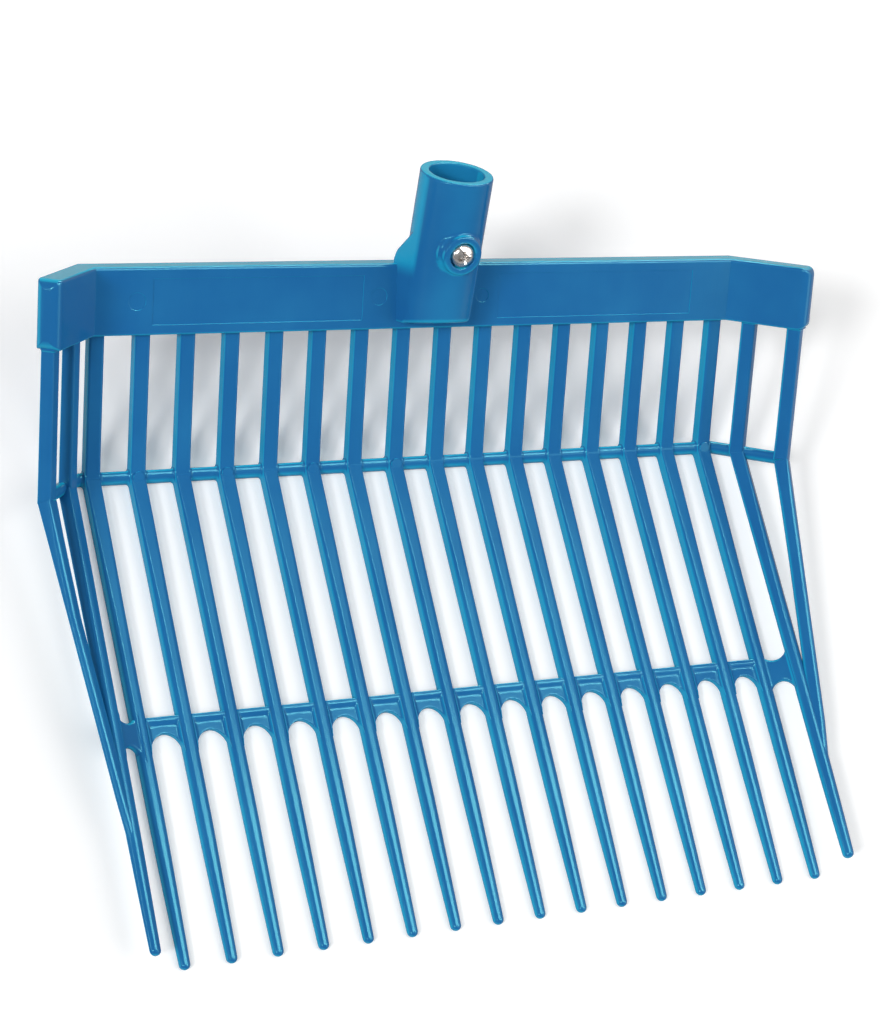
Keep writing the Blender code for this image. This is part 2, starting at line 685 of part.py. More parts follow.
def turned(mesh, profile, sides):
    """Add a closed ring turned about local Z from (radius, height) points."""
    loops = []
    for step in range(sides):
        angle = math.tau * step / sides
        loops.append([mesh.verts.new((r * math.cos(angle), r * math.sin(angle), z)) for r, z in profile])
    faces = []
    for index, ring in enumerate(loops):
        after = loops[(index + 1) % sides]
        for point in range(len(profile)):
            other = (point + 1) % len(profile)
            faces.append(mesh.faces.new((ring[point], ring[other], after[other], after[point])))
    bmesh.ops.recalc_face_normals(mesh, faces=faces)


def screw_frame():
    """Return the frame of the screw: origin on the socket's axis, Z out of the front boss."""
    turn = Matrix((ACROSS, SCREW_AXIS.cross(ACROSS), SCREW_AXIS)).transposed()
    return Matrix.Translation(socket_point(SCREW_AT)) @ turn.to_4x4()


def make_screw(steel, pose):
    """Build the pan-head screw with its cross recess."""
    seat = FRONT_BOSS_REACH - FRONT_BOSS_SINK + SEAT_GAP
    mesh = bmesh.new()
    sides = 32
    tip = seat - SCREW_LENGTH
    rings = [(SCREW_RADIUS - SCREW_TIP_CHAMFER, tip), (SCREW_RADIUS, tip + SCREW_TIP_CHAMFER),
             (SCREW_RADIUS, seat), (SCREW_HEAD_RADIUS, seat)]
    for degrees in (0, 20, 40, 60, 78):
        angle = math.radians(degrees)
        rings.append((SCREW_HEAD_RADIUS * math.cos(angle),
                      mix(seat + SCREW_HEAD_BRIM, seat + SCREW_HEAD_HEIGHT, math.sin(angle))))
    loops = []
    for radius, height in rings:
        turns = [math.tau * step / sides for step in range(sides)]
        loops.append([Vector((radius * math.cos(t), radius * math.sin(t), height)) for t in turns])
    add_loft(mesh, loops)
    screw = finish_object("fixing_screw", mesh, steel, pose)
    cross = bmesh.new()
    half = CROSS_RECESS_LENGTH / 2
    slim = CROSS_RECESS_WIDTH / 2
    top = seat + SCREW_HEAD_HEIGHT
    outline = [(half, -slim), (half, slim), (slim, slim), (slim, half), (-slim, half), (-slim, slim),
               (-half, slim), (-half, -slim), (-slim, -slim), (-slim, -half), (slim, -half), (slim, -slim)]
    wide = [Vector((x, y, top + CUTTER_PAST)) for x, y in outline]
    narrow = [Vector((x * CROSS_RECESS_TAPER, y * CROSS_RECESS_TAPER, top - CROSS_RECESS_DEPTH))
              for x, y in outline]
    add_loft(cross, [narrow, wide])
    boolean(screw, finish_object("cross_recess", cross, steel, pose), "DIFFERENCE")
    return screw


def make_washer(steel, pose):
    """Build the flat washer against the rear boss."""
    face = -(REAR_BOSS_REACH + SEAT_GAP)
    mesh = bmesh.new()
    hole = SCREW_HOLE_RADIUS
    back = face - WASHER_THICKNESS
    turned(mesh, [(hole, face), (WASHER_RADIUS - WASHER_EDGE, face), (WASHER_RADIUS, face - WASHER_EDGE),
                  (WASHER_RADIUS, back + WASHER_EDGE), (WASHER_RADIUS - WASHER_EDGE, back), (hole, back)], 32)
    return finish_object("flat_washer", mesh, steel, pose)


def make_nut(steel, pose):
    """Build the hexagon lock nut with the collar that holds its insert."""
    face = -(REAR_BOSS_REACH + SEAT_GAP + WASHER_THICKNESS + SEAT_GAP)
    corner = NUT_ACROSS_FLATS / 2 / math.cos(math.pi / 6)
    mesh = bmesh.new()
    hexagon = [Vector((corner * math.cos(math.tau * k / 6), corner * math.sin(math.tau * k / 6), 0.0))
               for k in range(6)]
    add_prism(mesh, hexagon, UP * face, UP * (face - NUT_HEX_HEIGHT))
    collar_start = UP * (face - NUT_HEX_HEIGHT / 2)
    add_cylinder(mesh, collar_start, UP * (face - NUT_HEIGHT), NUT_COLLAR_RADIUS, 32)
    nut = finish_object("lock_nut", mesh, steel, pose)
    cuts = bmesh.new()
    rear = face - NUT_HEIGHT - CUTTER_PAST
    add_cylinder(cuts, UP * (face + CUTTER_PAST), UP * rear, SCREW_HOLE_RADIUS, 24)
    pocket = INSERT_HEIGHT + SEAT_GAP
    add_cylinder(cuts, UP * (face - NUT_HEIGHT + pocket), UP * rear, INSERT_RADIUS + SEAT_GAP / 2, 32)
    boolean(nut, finish_object("nut_cuts", cuts, steel, pose), "DIFFERENCE")
    return nut


def make_insert(nylon, pose):
    """Build the nylon ring in the lock nut's collar."""
    rear = -(REAR_BOSS_REACH + SEAT_GAP + WASHER_THICKNESS + SEAT_GAP + NUT_HEIGHT)
    mesh = bmesh.new()
    hole = SCREW_HOLE_RADIUS
    front = rear + INSERT_HEIGHT
    turned(mesh, [(hole, rear), (INSERT_RADIUS, rear), (INSERT_RADIUS, front), (hole, front)], 32)
    return finish_object("nut_insert", mesh, nylon, pose)


def lay_on_floor(pieces, pose):
    """Lay the head on the backs of its tines, with its box centred on the origin."""
    pose.rotation_euler = (KNEE_ANGLE - math.pi / 2, 0.0, 0.0)
    bpy.context.view_layer.update()
    graph = bpy.context.evaluated_depsgraph_get()
    corners = []
    for piece in pieces:
        shape = piece.evaluated_get(graph)
        corners += [shape.matrix_world @ vertex.co for vertex in shape.data.vertices]
    low = [min(corner[axis] for corner in corners) for axis in range(3)]
    high = [max(corner[axis] for corner in corners) for axis in range(3)]
    pose.location = (-(low[0] + high[0]) / 2, -(low[1] + high[1]) / 2, -low[2])


def main():
    """Build the fork head and its fastening."""
    clear_scene()
    plastic = plain_material("blue_polycarbonate", (0.011, 0.135, 0.37), 0.25, 0.0)
    steel = plain_material("polished_steel", (0.72, 0.70, 0.68), 0.18, 1.0)
    nylon = plain_material("white_nylon", (0.75, 0.76, 0.74), 0.45, 0.0)
    pose = bpy.data.objects.new("floor_pose", None)
    bpy.context.collection.objects.link(pose)
    screw_line = bpy.data.objects.new("screw_line", None)
    bpy.context.collection.objects.link(screw_line)
    screw_line.parent = pose
    screw_line.matrix_local = screw_frame()
    head, socket = make_fork_head(plastic)
    for name in ("fork_head", "handle_socket", "header_pockets", "moulding_stock", "socket_cuts",
                 "screw_cut", "block_room", "block_limit"):
        bpy.data.objects[name].parent = pose
    pieces = [head, socket, make_screw(steel, screw_line), make_washer(steel, screw_line),
              make_nut(steel, screw_line), make_insert(nylon, screw_line)]
    lay_on_floor(pieces, pose)


main()
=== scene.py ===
"""Blue moulded bedding fork head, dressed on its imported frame.

The head is one glossy moulding, drawn here with its rounded edges and fillets,
and a polished screw, washer and lock nut that hold a handle in its socket.
Every shape is drawn upright in metres, with the header standing and its lower
edge at Z = 0, and is then laid on the floor as the frame lies.
"""

from __future__ import annotations

import logging
import math
from collections.abc import Sequence
from dataclasses import dataclass
from enum import Enum

import bmesh
import bpy
import numpy as np
from mathutils import Matrix, Vector


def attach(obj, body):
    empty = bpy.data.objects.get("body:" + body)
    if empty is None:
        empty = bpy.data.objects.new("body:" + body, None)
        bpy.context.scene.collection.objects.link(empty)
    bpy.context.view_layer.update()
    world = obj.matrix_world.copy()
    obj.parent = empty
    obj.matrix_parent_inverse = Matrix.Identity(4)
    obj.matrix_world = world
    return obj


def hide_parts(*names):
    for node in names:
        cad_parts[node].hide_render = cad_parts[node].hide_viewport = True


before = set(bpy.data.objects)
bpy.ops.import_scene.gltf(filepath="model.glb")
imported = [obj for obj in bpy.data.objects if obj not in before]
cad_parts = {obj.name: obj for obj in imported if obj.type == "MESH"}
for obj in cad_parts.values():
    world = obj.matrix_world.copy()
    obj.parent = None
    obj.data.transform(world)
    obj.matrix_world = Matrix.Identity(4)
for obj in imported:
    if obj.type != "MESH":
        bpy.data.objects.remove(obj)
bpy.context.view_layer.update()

LOG = logging.getLogger("fork_head")
MM = 0.001
UP = Vector((0.0, 0.0, 1.0))
ACROSS = Vector((1.0, 0.0, 0.0))
FORWARD = Vector((0.0, -1.0, 0.0))
STILL = Matrix.Identity(4)
SHARP_ANGLE = math.radians(38)
PAINTED_LIGHT_ATTRIBUTE = "painted_facing_light"
SOCKET_NAME = "handle_tube"

Pair = tuple[float, float]
Triple = tuple[float, float, float]
Ring = list[Vector]
Object = bpy.types.Object
Material = bpy.types.Material
Socket = bpy.types.NodeSocket


class Slot(Enum):
    """The record's material slots."""

    MOULDING = "blue_moulding"
    STEEL = "polished_steel"
    NYLON = "white_nylon"


class Side(Enum):
    """The two wings of the head."""

    LEFT = -1
    RIGHT = 1


def mix(low: float, high: float, share: float) -> float:
    """Return the value at a share of the way from low to high."""
    return low + (high - low) * share


def ease(share: float) -> float:
    """Return a share that starts and ends slowly."""
    return 0.5 - 0.5 * math.cos(math.pi * share)


def arc(centre: Pair, radius: float, first: float, last: float, steps: int) -> list[Pair]:
    """Return the steps + 1 points of an arc about a centre, between two angles in degrees."""
    turns = [math.radians(mix(first, last, step / steps)) for step in range(steps + 1)]
    return [(centre[0] + radius * math.cos(turn), centre[1] + radius * math.sin(turn)) for turn in turns]


def circle(radius: float, height: float, sides: int) -> Ring:
    """Return a level ring of points about Z."""
    turns = [math.tau * step / sides for step in range(sides)]
    return [Vector((radius * math.cos(turn), radius * math.sin(turn), height)) for turn in turns]


def fillet(distance: float, radius: float) -> float:
    """Return how far a fillet stands proud.

    Args:
        distance: the distance from the corner.
        radius: the fillet's radius.

    Returns:
        The rise, which is 0 past the fillet.
    """
    if distance >= radius:
        return 0.0
    return radius - math.sqrt(radius**2 - (radius - max(distance, 0.0)) ** 2)


def face_normal(across: Vector, along: Vector) -> Vector:
    """Return the unit normal of two directions that faces the front of the basket."""
    normal = across.cross(along).normalized()
    return normal if normal.y < 0 else -normal


@dataclass(frozen=True)
class Run:
    """A straight run of the moulding: a start on its back face and three directions."""

    start: Vector
    along: Vector
    across: Vector
    front: Vector

    def point(self, distance: float, side: float, rise: float) -> Vector:
        """Return the point at a distance along, to a side, and in front of the back face."""
        return self.start + self.along * distance + self.across * side + self.front * rise

    def ring(self, distance: float, section: Sequence[Pair]) -> Ring:
        """Return a section's ring at a distance along."""
        return [self.point(distance, side, rise) for side, rise in section]


@dataclass(frozen=True)
class HeadSizes:
    """Sizes that several parts of the moulding share."""

    knee_angle: float = math.radians(38.35)
    shift_y: float = 108.7295 * MM
    shift_z: float = 51.6049 * MM
    pitch: float = 22.0 * MM
    central_tines: int = 16
    tine_width: float = 7.4 * MM
    sheet_back: float = 10.5 * MM
    knee_drop: float = 69.9 * MM
    knee_depth: float = 6.4 * MM
    tine_length: float = 231.8 * MM
    convergence: float = 0.0078
    fold_half_width: float = 168.0 * MM
    wing_angle: float = math.radians(49.5)
    wing_step: float = 1.2 * MM
    wing_tine_at: float = 15.9 * MM
    outer_bar_at: float = 39.8 * MM
    wing_tine_length: float = 218.0 * MM
    wing_tine_lean: float = 2.2 * MM
    outer_bar_run: float = 171.0 * MM
    socket_axis_y: float = -2.3 * MM
    socket_radius: float = 17.35 * MM
    socket_lean: float = math.radians(11.8)
    screw_at: float = 45.0 * MM
    rear_boss: float = 18.3 * MM
    screw_hole: float = 3.3 * MM

    @property
    def tine_run(self) -> Vector:
        """Return the direction of a tine below the knee."""
        return Vector((0.0, -math.sin(self.knee_angle), -math.cos(self.knee_angle)))

    @property
    def fold_slope(self) -> float:
        """Return how far a mitred fold moves sideways per unit of depth."""
        return math.tan(self.wing_angle / 2)

    @property
    def half_width(self) -> float:
        """Return the X of the last central tine."""
        return (self.central_tines - 1) / 2 * self.pitch

    @property
    def socket_axis(self) -> Vector:
        """Return the direction of the handle's bore, out of its mouth."""
        return Vector((0.0, -math.sin(self.socket_lean), math.cos(self.socket_lean)))

    def leaning(self, angle: float) -> Vector:
        """Return a direction that faces forwards and leans back by an angle."""
        return Vector((0.0, -math.cos(angle), math.sin(angle)))

    def lying(self) -> Matrix:
        """Return the matrix that lays the upright head on the floor."""
        turn = Matrix.Rotation(self.knee_angle - math.pi / 2, 4, "X")
        return Matrix.Translation((0.0, self.shift_y, self.shift_z)) @ turn

    def screw_frame(self) -> Matrix:
        """Work out where the screw lies.

        Returns:
            The screw's frame: origin on the socket's axis, Z out of the front boss.
        """
        axis = self.leaning(-self.socket_lean)
        turn = Matrix((ACROSS, axis.cross(ACROSS), axis)).transposed()
        return Matrix.Translation(self.socket_point(self.screw_at)) @ turn.to_4x4()

    def socket_point(self, distance: float) -> Vector:
        """Return the socket's axis point at a distance up from the header's lower edge."""
        return Vector((0.0, self.socket_axis_y, 0.0)) + self.socket_axis * distance

    def wing_level(self, side: Side) -> Vector:
        """Return the level direction in which a wing leaves its fold."""
        return Vector((side.value * math.cos(self.wing_angle), -math.sin(self.wing_angle), 0.0))

    def wing_point(self, side: Side, reach: float, rise: float, height: float) -> Vector:
        """Return a wing's point.

        Args:
            side: which wing.
            reach: how far past the front fold.
            rise: how far in front of the wing's face.
            height: how far above the header's lower edge.

        Returns:
            The point.
        """
        level = self.wing_level(side)
        fold = Vector((side.value * self.fold_half_width, 0.0, height))
        return fold + level * reach + face_normal(level, UP) * rise

    def knee(self, x: float) -> Vector:
        """Return the central sheet's knee line point on its back face at an X."""
        return Vector((x, self.sheet_back, -self.knee_drop))

    def tine_lower(self, x: float) -> Run:
        """Return the run of a central tine below the knee at an X."""
        return Run(self.knee(x), self.tine_run, ACROSS, self.leaning(self.knee_angle))

    def wing_knee(self, offset: float, side: Side) -> Vector:
        """Return a wing's knee line point on the back face.

        Args:
            offset: how far past the fold it lies.
            side: which wing.

        Returns:
            The point.
        """
        level = self.wing_level(side)
        start = self.knee(side.value * (self.fold_half_width + self.sheet_back * self.fold_slope))
        return start + level * offset + face_normal(level, UP) * self.wing_step

    def folded_loops(self, section: Sequence[Pair], ends: Sequence[Pair]) -> list[Ring]:
        """Return rings of a section swept from one wing to the other.

        Args:
            section: (rise, height) points, with the front face at rise 0.
            ends: how far past the fold each ring lies, and how much smaller it is there.

        Returns:
            The rings from the left end to the right, mitred on the fold lines.
        """
        middle = [(max(part) + min(part)) / 2 for part in zip(*section)]
        half = [(max(part) - min(part)) / 2 for part in zip(*section)]
        wings = []
        for side in Side:
            rings = [[Vector((side.value * (self.fold_half_width - rise * self.fold_slope), -rise, height))
                      for rise, height in section]]
            for reach, inset in ends:
                slim, low = (1 - inset / size for size in half)
                rings.append([self.wing_point(side, reach, mix(middle[0], rise, slim),
                                              mix(middle[1], height, low)) for rise, height in section])
            wings.append(rings)
        return wings[0][::-1] + wings[1]


class Shape:
    """A mesh in the making, drawn in the upright head's frame."""

    def __init__(self) -> None:
        """Start an empty mesh."""
        self.mesh = bmesh.new()

    def _points(self, rings: Sequence[Ring]) -> list[list[bmesh.types.BMVert]]:
        """Return rings of new mesh points."""
        return [[self.mesh.verts.new(point) for point in ring] for ring in rings]

    def _bands(self, rows: Sequence[Sequence[bmesh.types.BMVert]]) -> list[bmesh.types.BMFace]:
        """Join each ring of mesh points to the next.

        Args:
            rows: the rings.

        Returns:
            The new faces.
        """
        faces = []
        for lower, upper in zip(rows, rows[1:]):
            for index in range(len(lower)):
                after = (index + 1) % len(lower)
                faces.append(self.mesh.faces.new((lower[index], lower[after], upper[after], upper[index])))
        return faces

    def _face_out(self, faces: list[bmesh.types.BMFace]) -> None:
        """Turn new faces outwards."""
        bmesh.ops.recalc_face_normals(self.mesh, faces=faces)

    def loft(self, rings: Sequence[Ring]) -> None:
        """Add a solid with flat ends that joins equal rings of points.

        Args:
            rings: the rings, in order.
        """
        rows = self._points(rings)
        ends = [self.mesh.faces.new(rows[0]), self.mesh.faces.new(rows[-1])]
        self._face_out(ends + self._bands(rows))

    def turned(self, profile: Sequence[Pair], sides: int, place: Matrix = STILL) -> None:
        """Add a solid turned about a frame's Z.

        Args:
            profile: (radius, height) points, closed on themselves, or ending on the axis.
            sides: how many sides the solid has.
            place: the frame whose Z is the turning axis.
        """
        on_axis = profile[0][0] == 0.0 and profile[-1][0] == 0.0
        points = profile[1:-1] if on_axis else profile
        rows = self._points([[place @ point for point in circle(radius, height, sides)]
                             for radius, height in points])
        if on_axis:
            faces = self._bands(rows)
            for row, (_, height) in ((rows[0], profile[0]), (rows[-1], profile[-1])):
                hub = self.mesh.verts.new(place @ Vector((0.0, 0.0, height)))
                faces += [self.mesh.faces.new((row[index], row[(index + 1) % sides], hub))
                          for index in range(sides)]
        else:
            faces = self._bands(rows + rows[:1])
        self._face_out(faces)

    def slab(self, front: Sequence[Ring], back: Sequence[Ring]) -> None:
        """Add a solid between a front and a back sheet of equally many points.

        Args:
            front: rows of points of the front sheet.
            back: rows of points of the back sheet.
        """
        sheets = [self._points(front), self._points(back)]
        rows, columns = len(front), len(front[0])
        faces = []
        for sheet in sheets:
            for lower, upper in zip(sheet, sheet[1:]):
                faces += [self.mesh.faces.new((lower[index], lower[index + 1], upper[index + 1], upper[index]))
                          for index in range(columns - 1)]
        border = [(0, column) for column in range(columns)]
        border += [(row, columns - 1) for row in range(1, rows)]
        border += [(rows - 1, column) for column in range(columns - 2, -1, -1)]
        border += [(row, 0) for row in range(rows - 2, 0, -1)]
        self._face_out(faces + self._bands([[sheet[row][column] for row, column in border] for sheet in sheets]))

    def block(self, outline: Ring, climb: float) -> None:
        """Add an upright block on an outline."""
        self.loft([outline, [point + UP * climb for point in outline]])

    def round_edges(self, radius: float, steps: int) -> None:
        """Round every edge of the mesh so far."""
        bmesh.ops.bevel(self.mesh, geom=list(self.mesh.edges), offset=radius, segments=steps,
                        affect="EDGES", profile=0.5)

    def to_mesh(self, name: str) -> bpy.types.Mesh:
        """Turn the drawing into a mesh and end it.

        Args:
            name: the mesh's name.

        Returns:
            The mesh.
        """
        data = bpy.data.meshes.new(name)
        self.mesh.to_mesh(data)
        self.mesh.free()
        return data

    def to_object(self, name: str, pose: Matrix = STILL) -> Object:
        """Turn the drawing into an object.

        Args:
            name: the object's name.
            pose: the matrix that the points are moved by.

        Returns:
            The new object, which sits at the origin.
        """
        self.mesh.transform(pose)
        data = self.to_mesh(name)
        data.shade_smooth()
        data.set_sharp_from_angle(angle=SHARP_ANGLE)
        return link(name, data)


def link(name: str, data: bpy.types.ID) -> Object:
    """Put new data in the scene as an object.

    Args:
        name: the object's name.
        data: its mesh, lamp or camera.

    Returns:
        The object.
    """
    made = bpy.data.objects.new(name, data)
    bpy.context.scene.collection.objects.link(made)
    return made


def baked(made: Object) -> Object:
    """Replace an object's mesh by its evaluated mesh and drop its modifiers.

    Args:
        made: the object.

    Returns:
        The same object.
    """
    bpy.context.view_layer.update()
    graph = bpy.context.evaluated_depsgraph_get()
    data = bpy.data.meshes.new_from_object(made.evaluated_get(graph), depsgraph=graph)
    made.modifiers.clear()
    made.data = data
    data.name = made.name
    return made


def modify(made: Object, kind: str, **settings: object) -> None:
    """Add a modifier to an object.

    Args:
        made: the object.
        kind: the modifier's type.
        settings: its properties.
    """
    modifier = made.modifiers.new(kind.lower(), kind)
    for name, value in settings.items():
        setattr(modifier, name, value)


def cut(made: Object, shape: Shape, operation: str = "DIFFERENCE") -> None:
    """Cut a shape away from an object, or join it on.

    Args:
        made: the object.
        shape: the shape, which is used up.
        operation: what is done with the two.
    """
    tool = shape.to_object("tool")
    modify(made, "BOOLEAN", operation=operation, solver="EXACT", use_self=True, object=tool)
    baked(made)
    bpy.data.objects.remove(tool, do_unlink=True)


def shade(made: Object) -> Object:
    """Shade an object smooth, with its sharp edges kept and its flats flat.

    Args:
        made: the object.

    Returns:
        The same object.
    """
    made.data.shade_smooth()
    made.data.set_sharp_from_angle(angle=SHARP_ANGLE)
    modify(made, "WEIGHTED_NORMAL", mode="FACE_AREA", weight=80, keep_sharp=True)
    return baked(made)


def slope(values: np.ndarray, low: float, high: float) -> np.ndarray:
    """Return a smooth step from 0 at low to 1 at high."""
    share = np.clip((values - low) / (high - low), 0.0, 1.0)
    return share * share * (3.0 - 2.0 * share)


@dataclass(frozen=True)
class PaintedFacingLight:
    """Painted light: a paler, greener colour on the corners that face sideways, up or down in the upright head.

    It stands in for the light that falls on the narrow sides of the bars, the upper faces and the lower edges. On
    the socket the painted side light fades in only above the height where the header backs it, and the bore is
    painted a little paler.
    """

    sizes: HeadSizes
    side_from: Pair = (0.80, 0.94)
    tube_side_from: Pair = (0.93, 0.99)
    side_share: float = 0.47
    top_from: Pair = (0.68, 0.97)
    below_from: Pair = (0.12, 0.5)
    below_share: float = 0.45
    tube_side_fade_heights: Pair = (26 * MM, 35 * MM)
    bore_from: Pair = (-15 * MM, -14 * MM)
    bore_share: float = 0.2

    def mark(self, made: Object) -> None:
        """Store the painted light at each corner of a mesh, from the way each corner faces.

        Args:
            made: the moulded piece, as it lies on the floor.
        """
        upright = self.sizes.lying().inverted()
        turn = np.array(upright.to_3x3()).T
        count = len(made.data.loops)
        normals = np.empty(count * 3, dtype=np.float32)
        made.data.corner_normals.foreach_get("vector", normals)
        turned = normals.reshape(count, 3) @ turn
        tube = made.name == SOCKET_NAME
        # Painted light: corners that face sideways, up or down get a paler share, as if lit.
        sides = slope(np.abs(turned[:, 0]), *(self.tube_side_from if tube else self.side_from)) * self.side_share
        tops = slope(turned[:, 2], *self.top_from)
        below = slope(-turned[:, 2], *self.below_from) * self.below_share
        if tube:
            spots = np.empty(len(made.data.vertices) * 3, dtype=np.float32)
            made.data.vertices.foreach_get("co", spots)
            owners = np.empty(count, dtype=np.int32)
            made.data.loops.foreach_get("vertex_index", owners)
            spots = (spots.reshape(-1, 3) @ turn + np.array(upright.translation))[owners]
            axis = np.array(self.sizes.socket_axis)
            reach = spots - np.array(self.sizes.socket_point(0.0))
            reach -= np.outer(reach @ axis, axis)
            bore = slope(-np.linalg.norm(reach, axis=1), *self.bore_from) * self.bore_share
            # Painted shade: low on the tube, beside the header, the painted side light fades out.
            sides = np.maximum(sides * slope(spots[:, 2], *self.tube_side_fade_heights), bore)
        painted_light = np.maximum(np.maximum(sides, tops), below).astype(np.float32)
        made.data.attributes.new(PAINTED_LIGHT_ATTRIBUTE, "FLOAT", "CORNER").data.foreach_set("value", painted_light)


def dress(made: Object, material: Material, slot: Slot, body: str, node: str) -> None:
    """Give an object its material, its place in the frame and, on the moulding, its painted light.

    Args:
        made: the finished object.
        material: its material.
        slot: the record's slot that it takes its finish from.
        body: the body that it rides on.
        node: the node of the frame that it stands for.
    """
    made.data.materials.clear()
    made.data.materials.append(material)
    # Moulded pieces get the painted light stored on their corners.
    if slot is Slot.MOULDING:
        PaintedFacingLight(HeadSizes()).mark(made)
    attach(made, body)
    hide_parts(node)
    LOG.info("%s: %d faces on %s", made.name, len(made.data.polygons), body)


class Signal:
    """A number socket of a node tree, with arithmetic that adds Math nodes."""

    def __init__(self, graph: NodeGraph, socket: Socket) -> None:
        """Wrap an output socket of a graph."""
        self.graph = graph
        self.socket = socket

    def maths(self, operation: str, first: Signal | float, second: Signal | float) -> Signal:
        """Return a Math node's result."""
        return self.graph.node("ShaderNodeMath", {"operation": operation}, {0: first, 1: second}).number()

    def __add__(self, other: Signal | float) -> Signal:
        """Return the sum."""
        return self.maths("ADD", self, other)

    __radd__ = __add__

    def __sub__(self, other: Signal | float) -> Signal:
        """Return the difference."""
        return self.maths("SUBTRACT", self, other)

    def __rsub__(self, other: Signal | float) -> Signal:
        """Return the difference from a number."""
        return self.maths("SUBTRACT", other, self)

    def __mul__(self, other: Signal | float) -> Signal:
        """Return the product."""
        return self.maths("MULTIPLY", self, other)

    __rmul__ = __mul__

    def above(self, low: float, high: float) -> Signal:
        """Return 0 below low, 1 above high and a straight slope between."""
        return self.graph.node("ShaderNodeMapRange", {"clamp": True},
                               {"Value": self, "From Min": low, "From Max": high}).number()


@dataclass(frozen=True)
class Made:
    """A node that a graph has made."""

    graph: NodeGraph
    node: bpy.types.Node

    def out(self, name: str | int = 0) -> Socket:
        """Return an output socket."""
        return self.node.outputs[name]

    def number(self, name: str | int = 0) -> Signal:
        """Return an output socket as a signal."""
        return Signal(self.graph, self.node.outputs[name])


class NodeGraph:
    """The node tree of a material, a world or a modifier."""

    def __init__(self, tree: bpy.types.NodeTree) -> None:
        """Empty a tree and keep it."""
        self.tree = tree
        tree.nodes.clear()

    def node(self, kind: str, settings: dict[str, object] | None = None,
             sockets: dict[str | int, object] | None = None) -> Made:
        """Add a node.

        Args:
            kind: the node's type.
            settings: its properties, set first.
            sockets: values, sockets or signals for its inputs.

        Returns:
            The node.
        """
        made = self.tree.nodes.new(kind)
        for name, value in (settings or {}).items():
            setattr(made, name, value)
        for name, value in (sockets or {}).items():
            source = value.socket if isinstance(value, Signal) else value
            if isinstance(source, Socket):
                self.tree.links.new(source, made.inputs[name])
            else:
                made.inputs[name].default_value = source
        return Made(self, made)

    def noise(self, scale: float, detail: float, stretch: Triple = (1.0, 1.0, 1.0)) -> Signal:
        """Return a noise of 0 to 1 in the object's own coordinates.

        Args:
            scale: how fine it is.
            detail: how many finer layers it has.
            stretch: the scale of the coordinates along each axis.

        Returns:
            The noise.
        """
        spot = self.node("ShaderNodeTexCoord").out("Object")
        place = self.node("ShaderNodeMapping", {}, {"Vector": spot, "Scale": stretch}).out()
        return self.node("ShaderNodeTexNoise", {"noise_dimensions": "3D"},
                         {"Vector": place, "Scale": scale, "Detail": detail}).number("Fac")

    def blend(self, share: Signal | float, low: Triple | Socket, high: Triple | Socket) -> Socket:
        """Return a colour mixed between two others, by a share of the way from low to high."""
        ends = [end if isinstance(end, Socket) else (*end, 1.0) for end in (low, high)]
        return self.node("ShaderNodeMix", {"data_type": "RGBA"}, {0: share, 6: ends[0], 7: ends[1]}).out(2)

    def bump(self, strength: float, distance: float, height: Signal) -> Socket:
        """Return a normal that is bumped by a height."""
        return self.node("ShaderNodeBump", {}, {"Strength": strength, "Distance": distance,
                                                "Height": height}).out()

    def surface(self, shader: Made, kind: str = "Material") -> None:
        """Make a shader the tree's result."""
        self.node(f"ShaderNodeOutput{kind}", {}, {"Surface": shader.out()})


@dataclass(frozen=True)
class Finish:
    """What every finish has: a name, and a shader whose sockets it fills."""

    name: str

    def sockets(self, graph: NodeGraph) -> dict[str, object]:
        """Return the values and links of the shader's sockets."""
        raise NotImplementedError

    def build(self) -> Material:
        """Make the material.

        Returns:
            The material.
        """
        material = bpy.data.materials.new(self.name)
        material.use_nodes = True
        graph = NodeGraph(material.node_tree)
        graph.surface(graph.node("ShaderNodeBsdfPrincipled", {}, self.sockets(graph)))
        return material


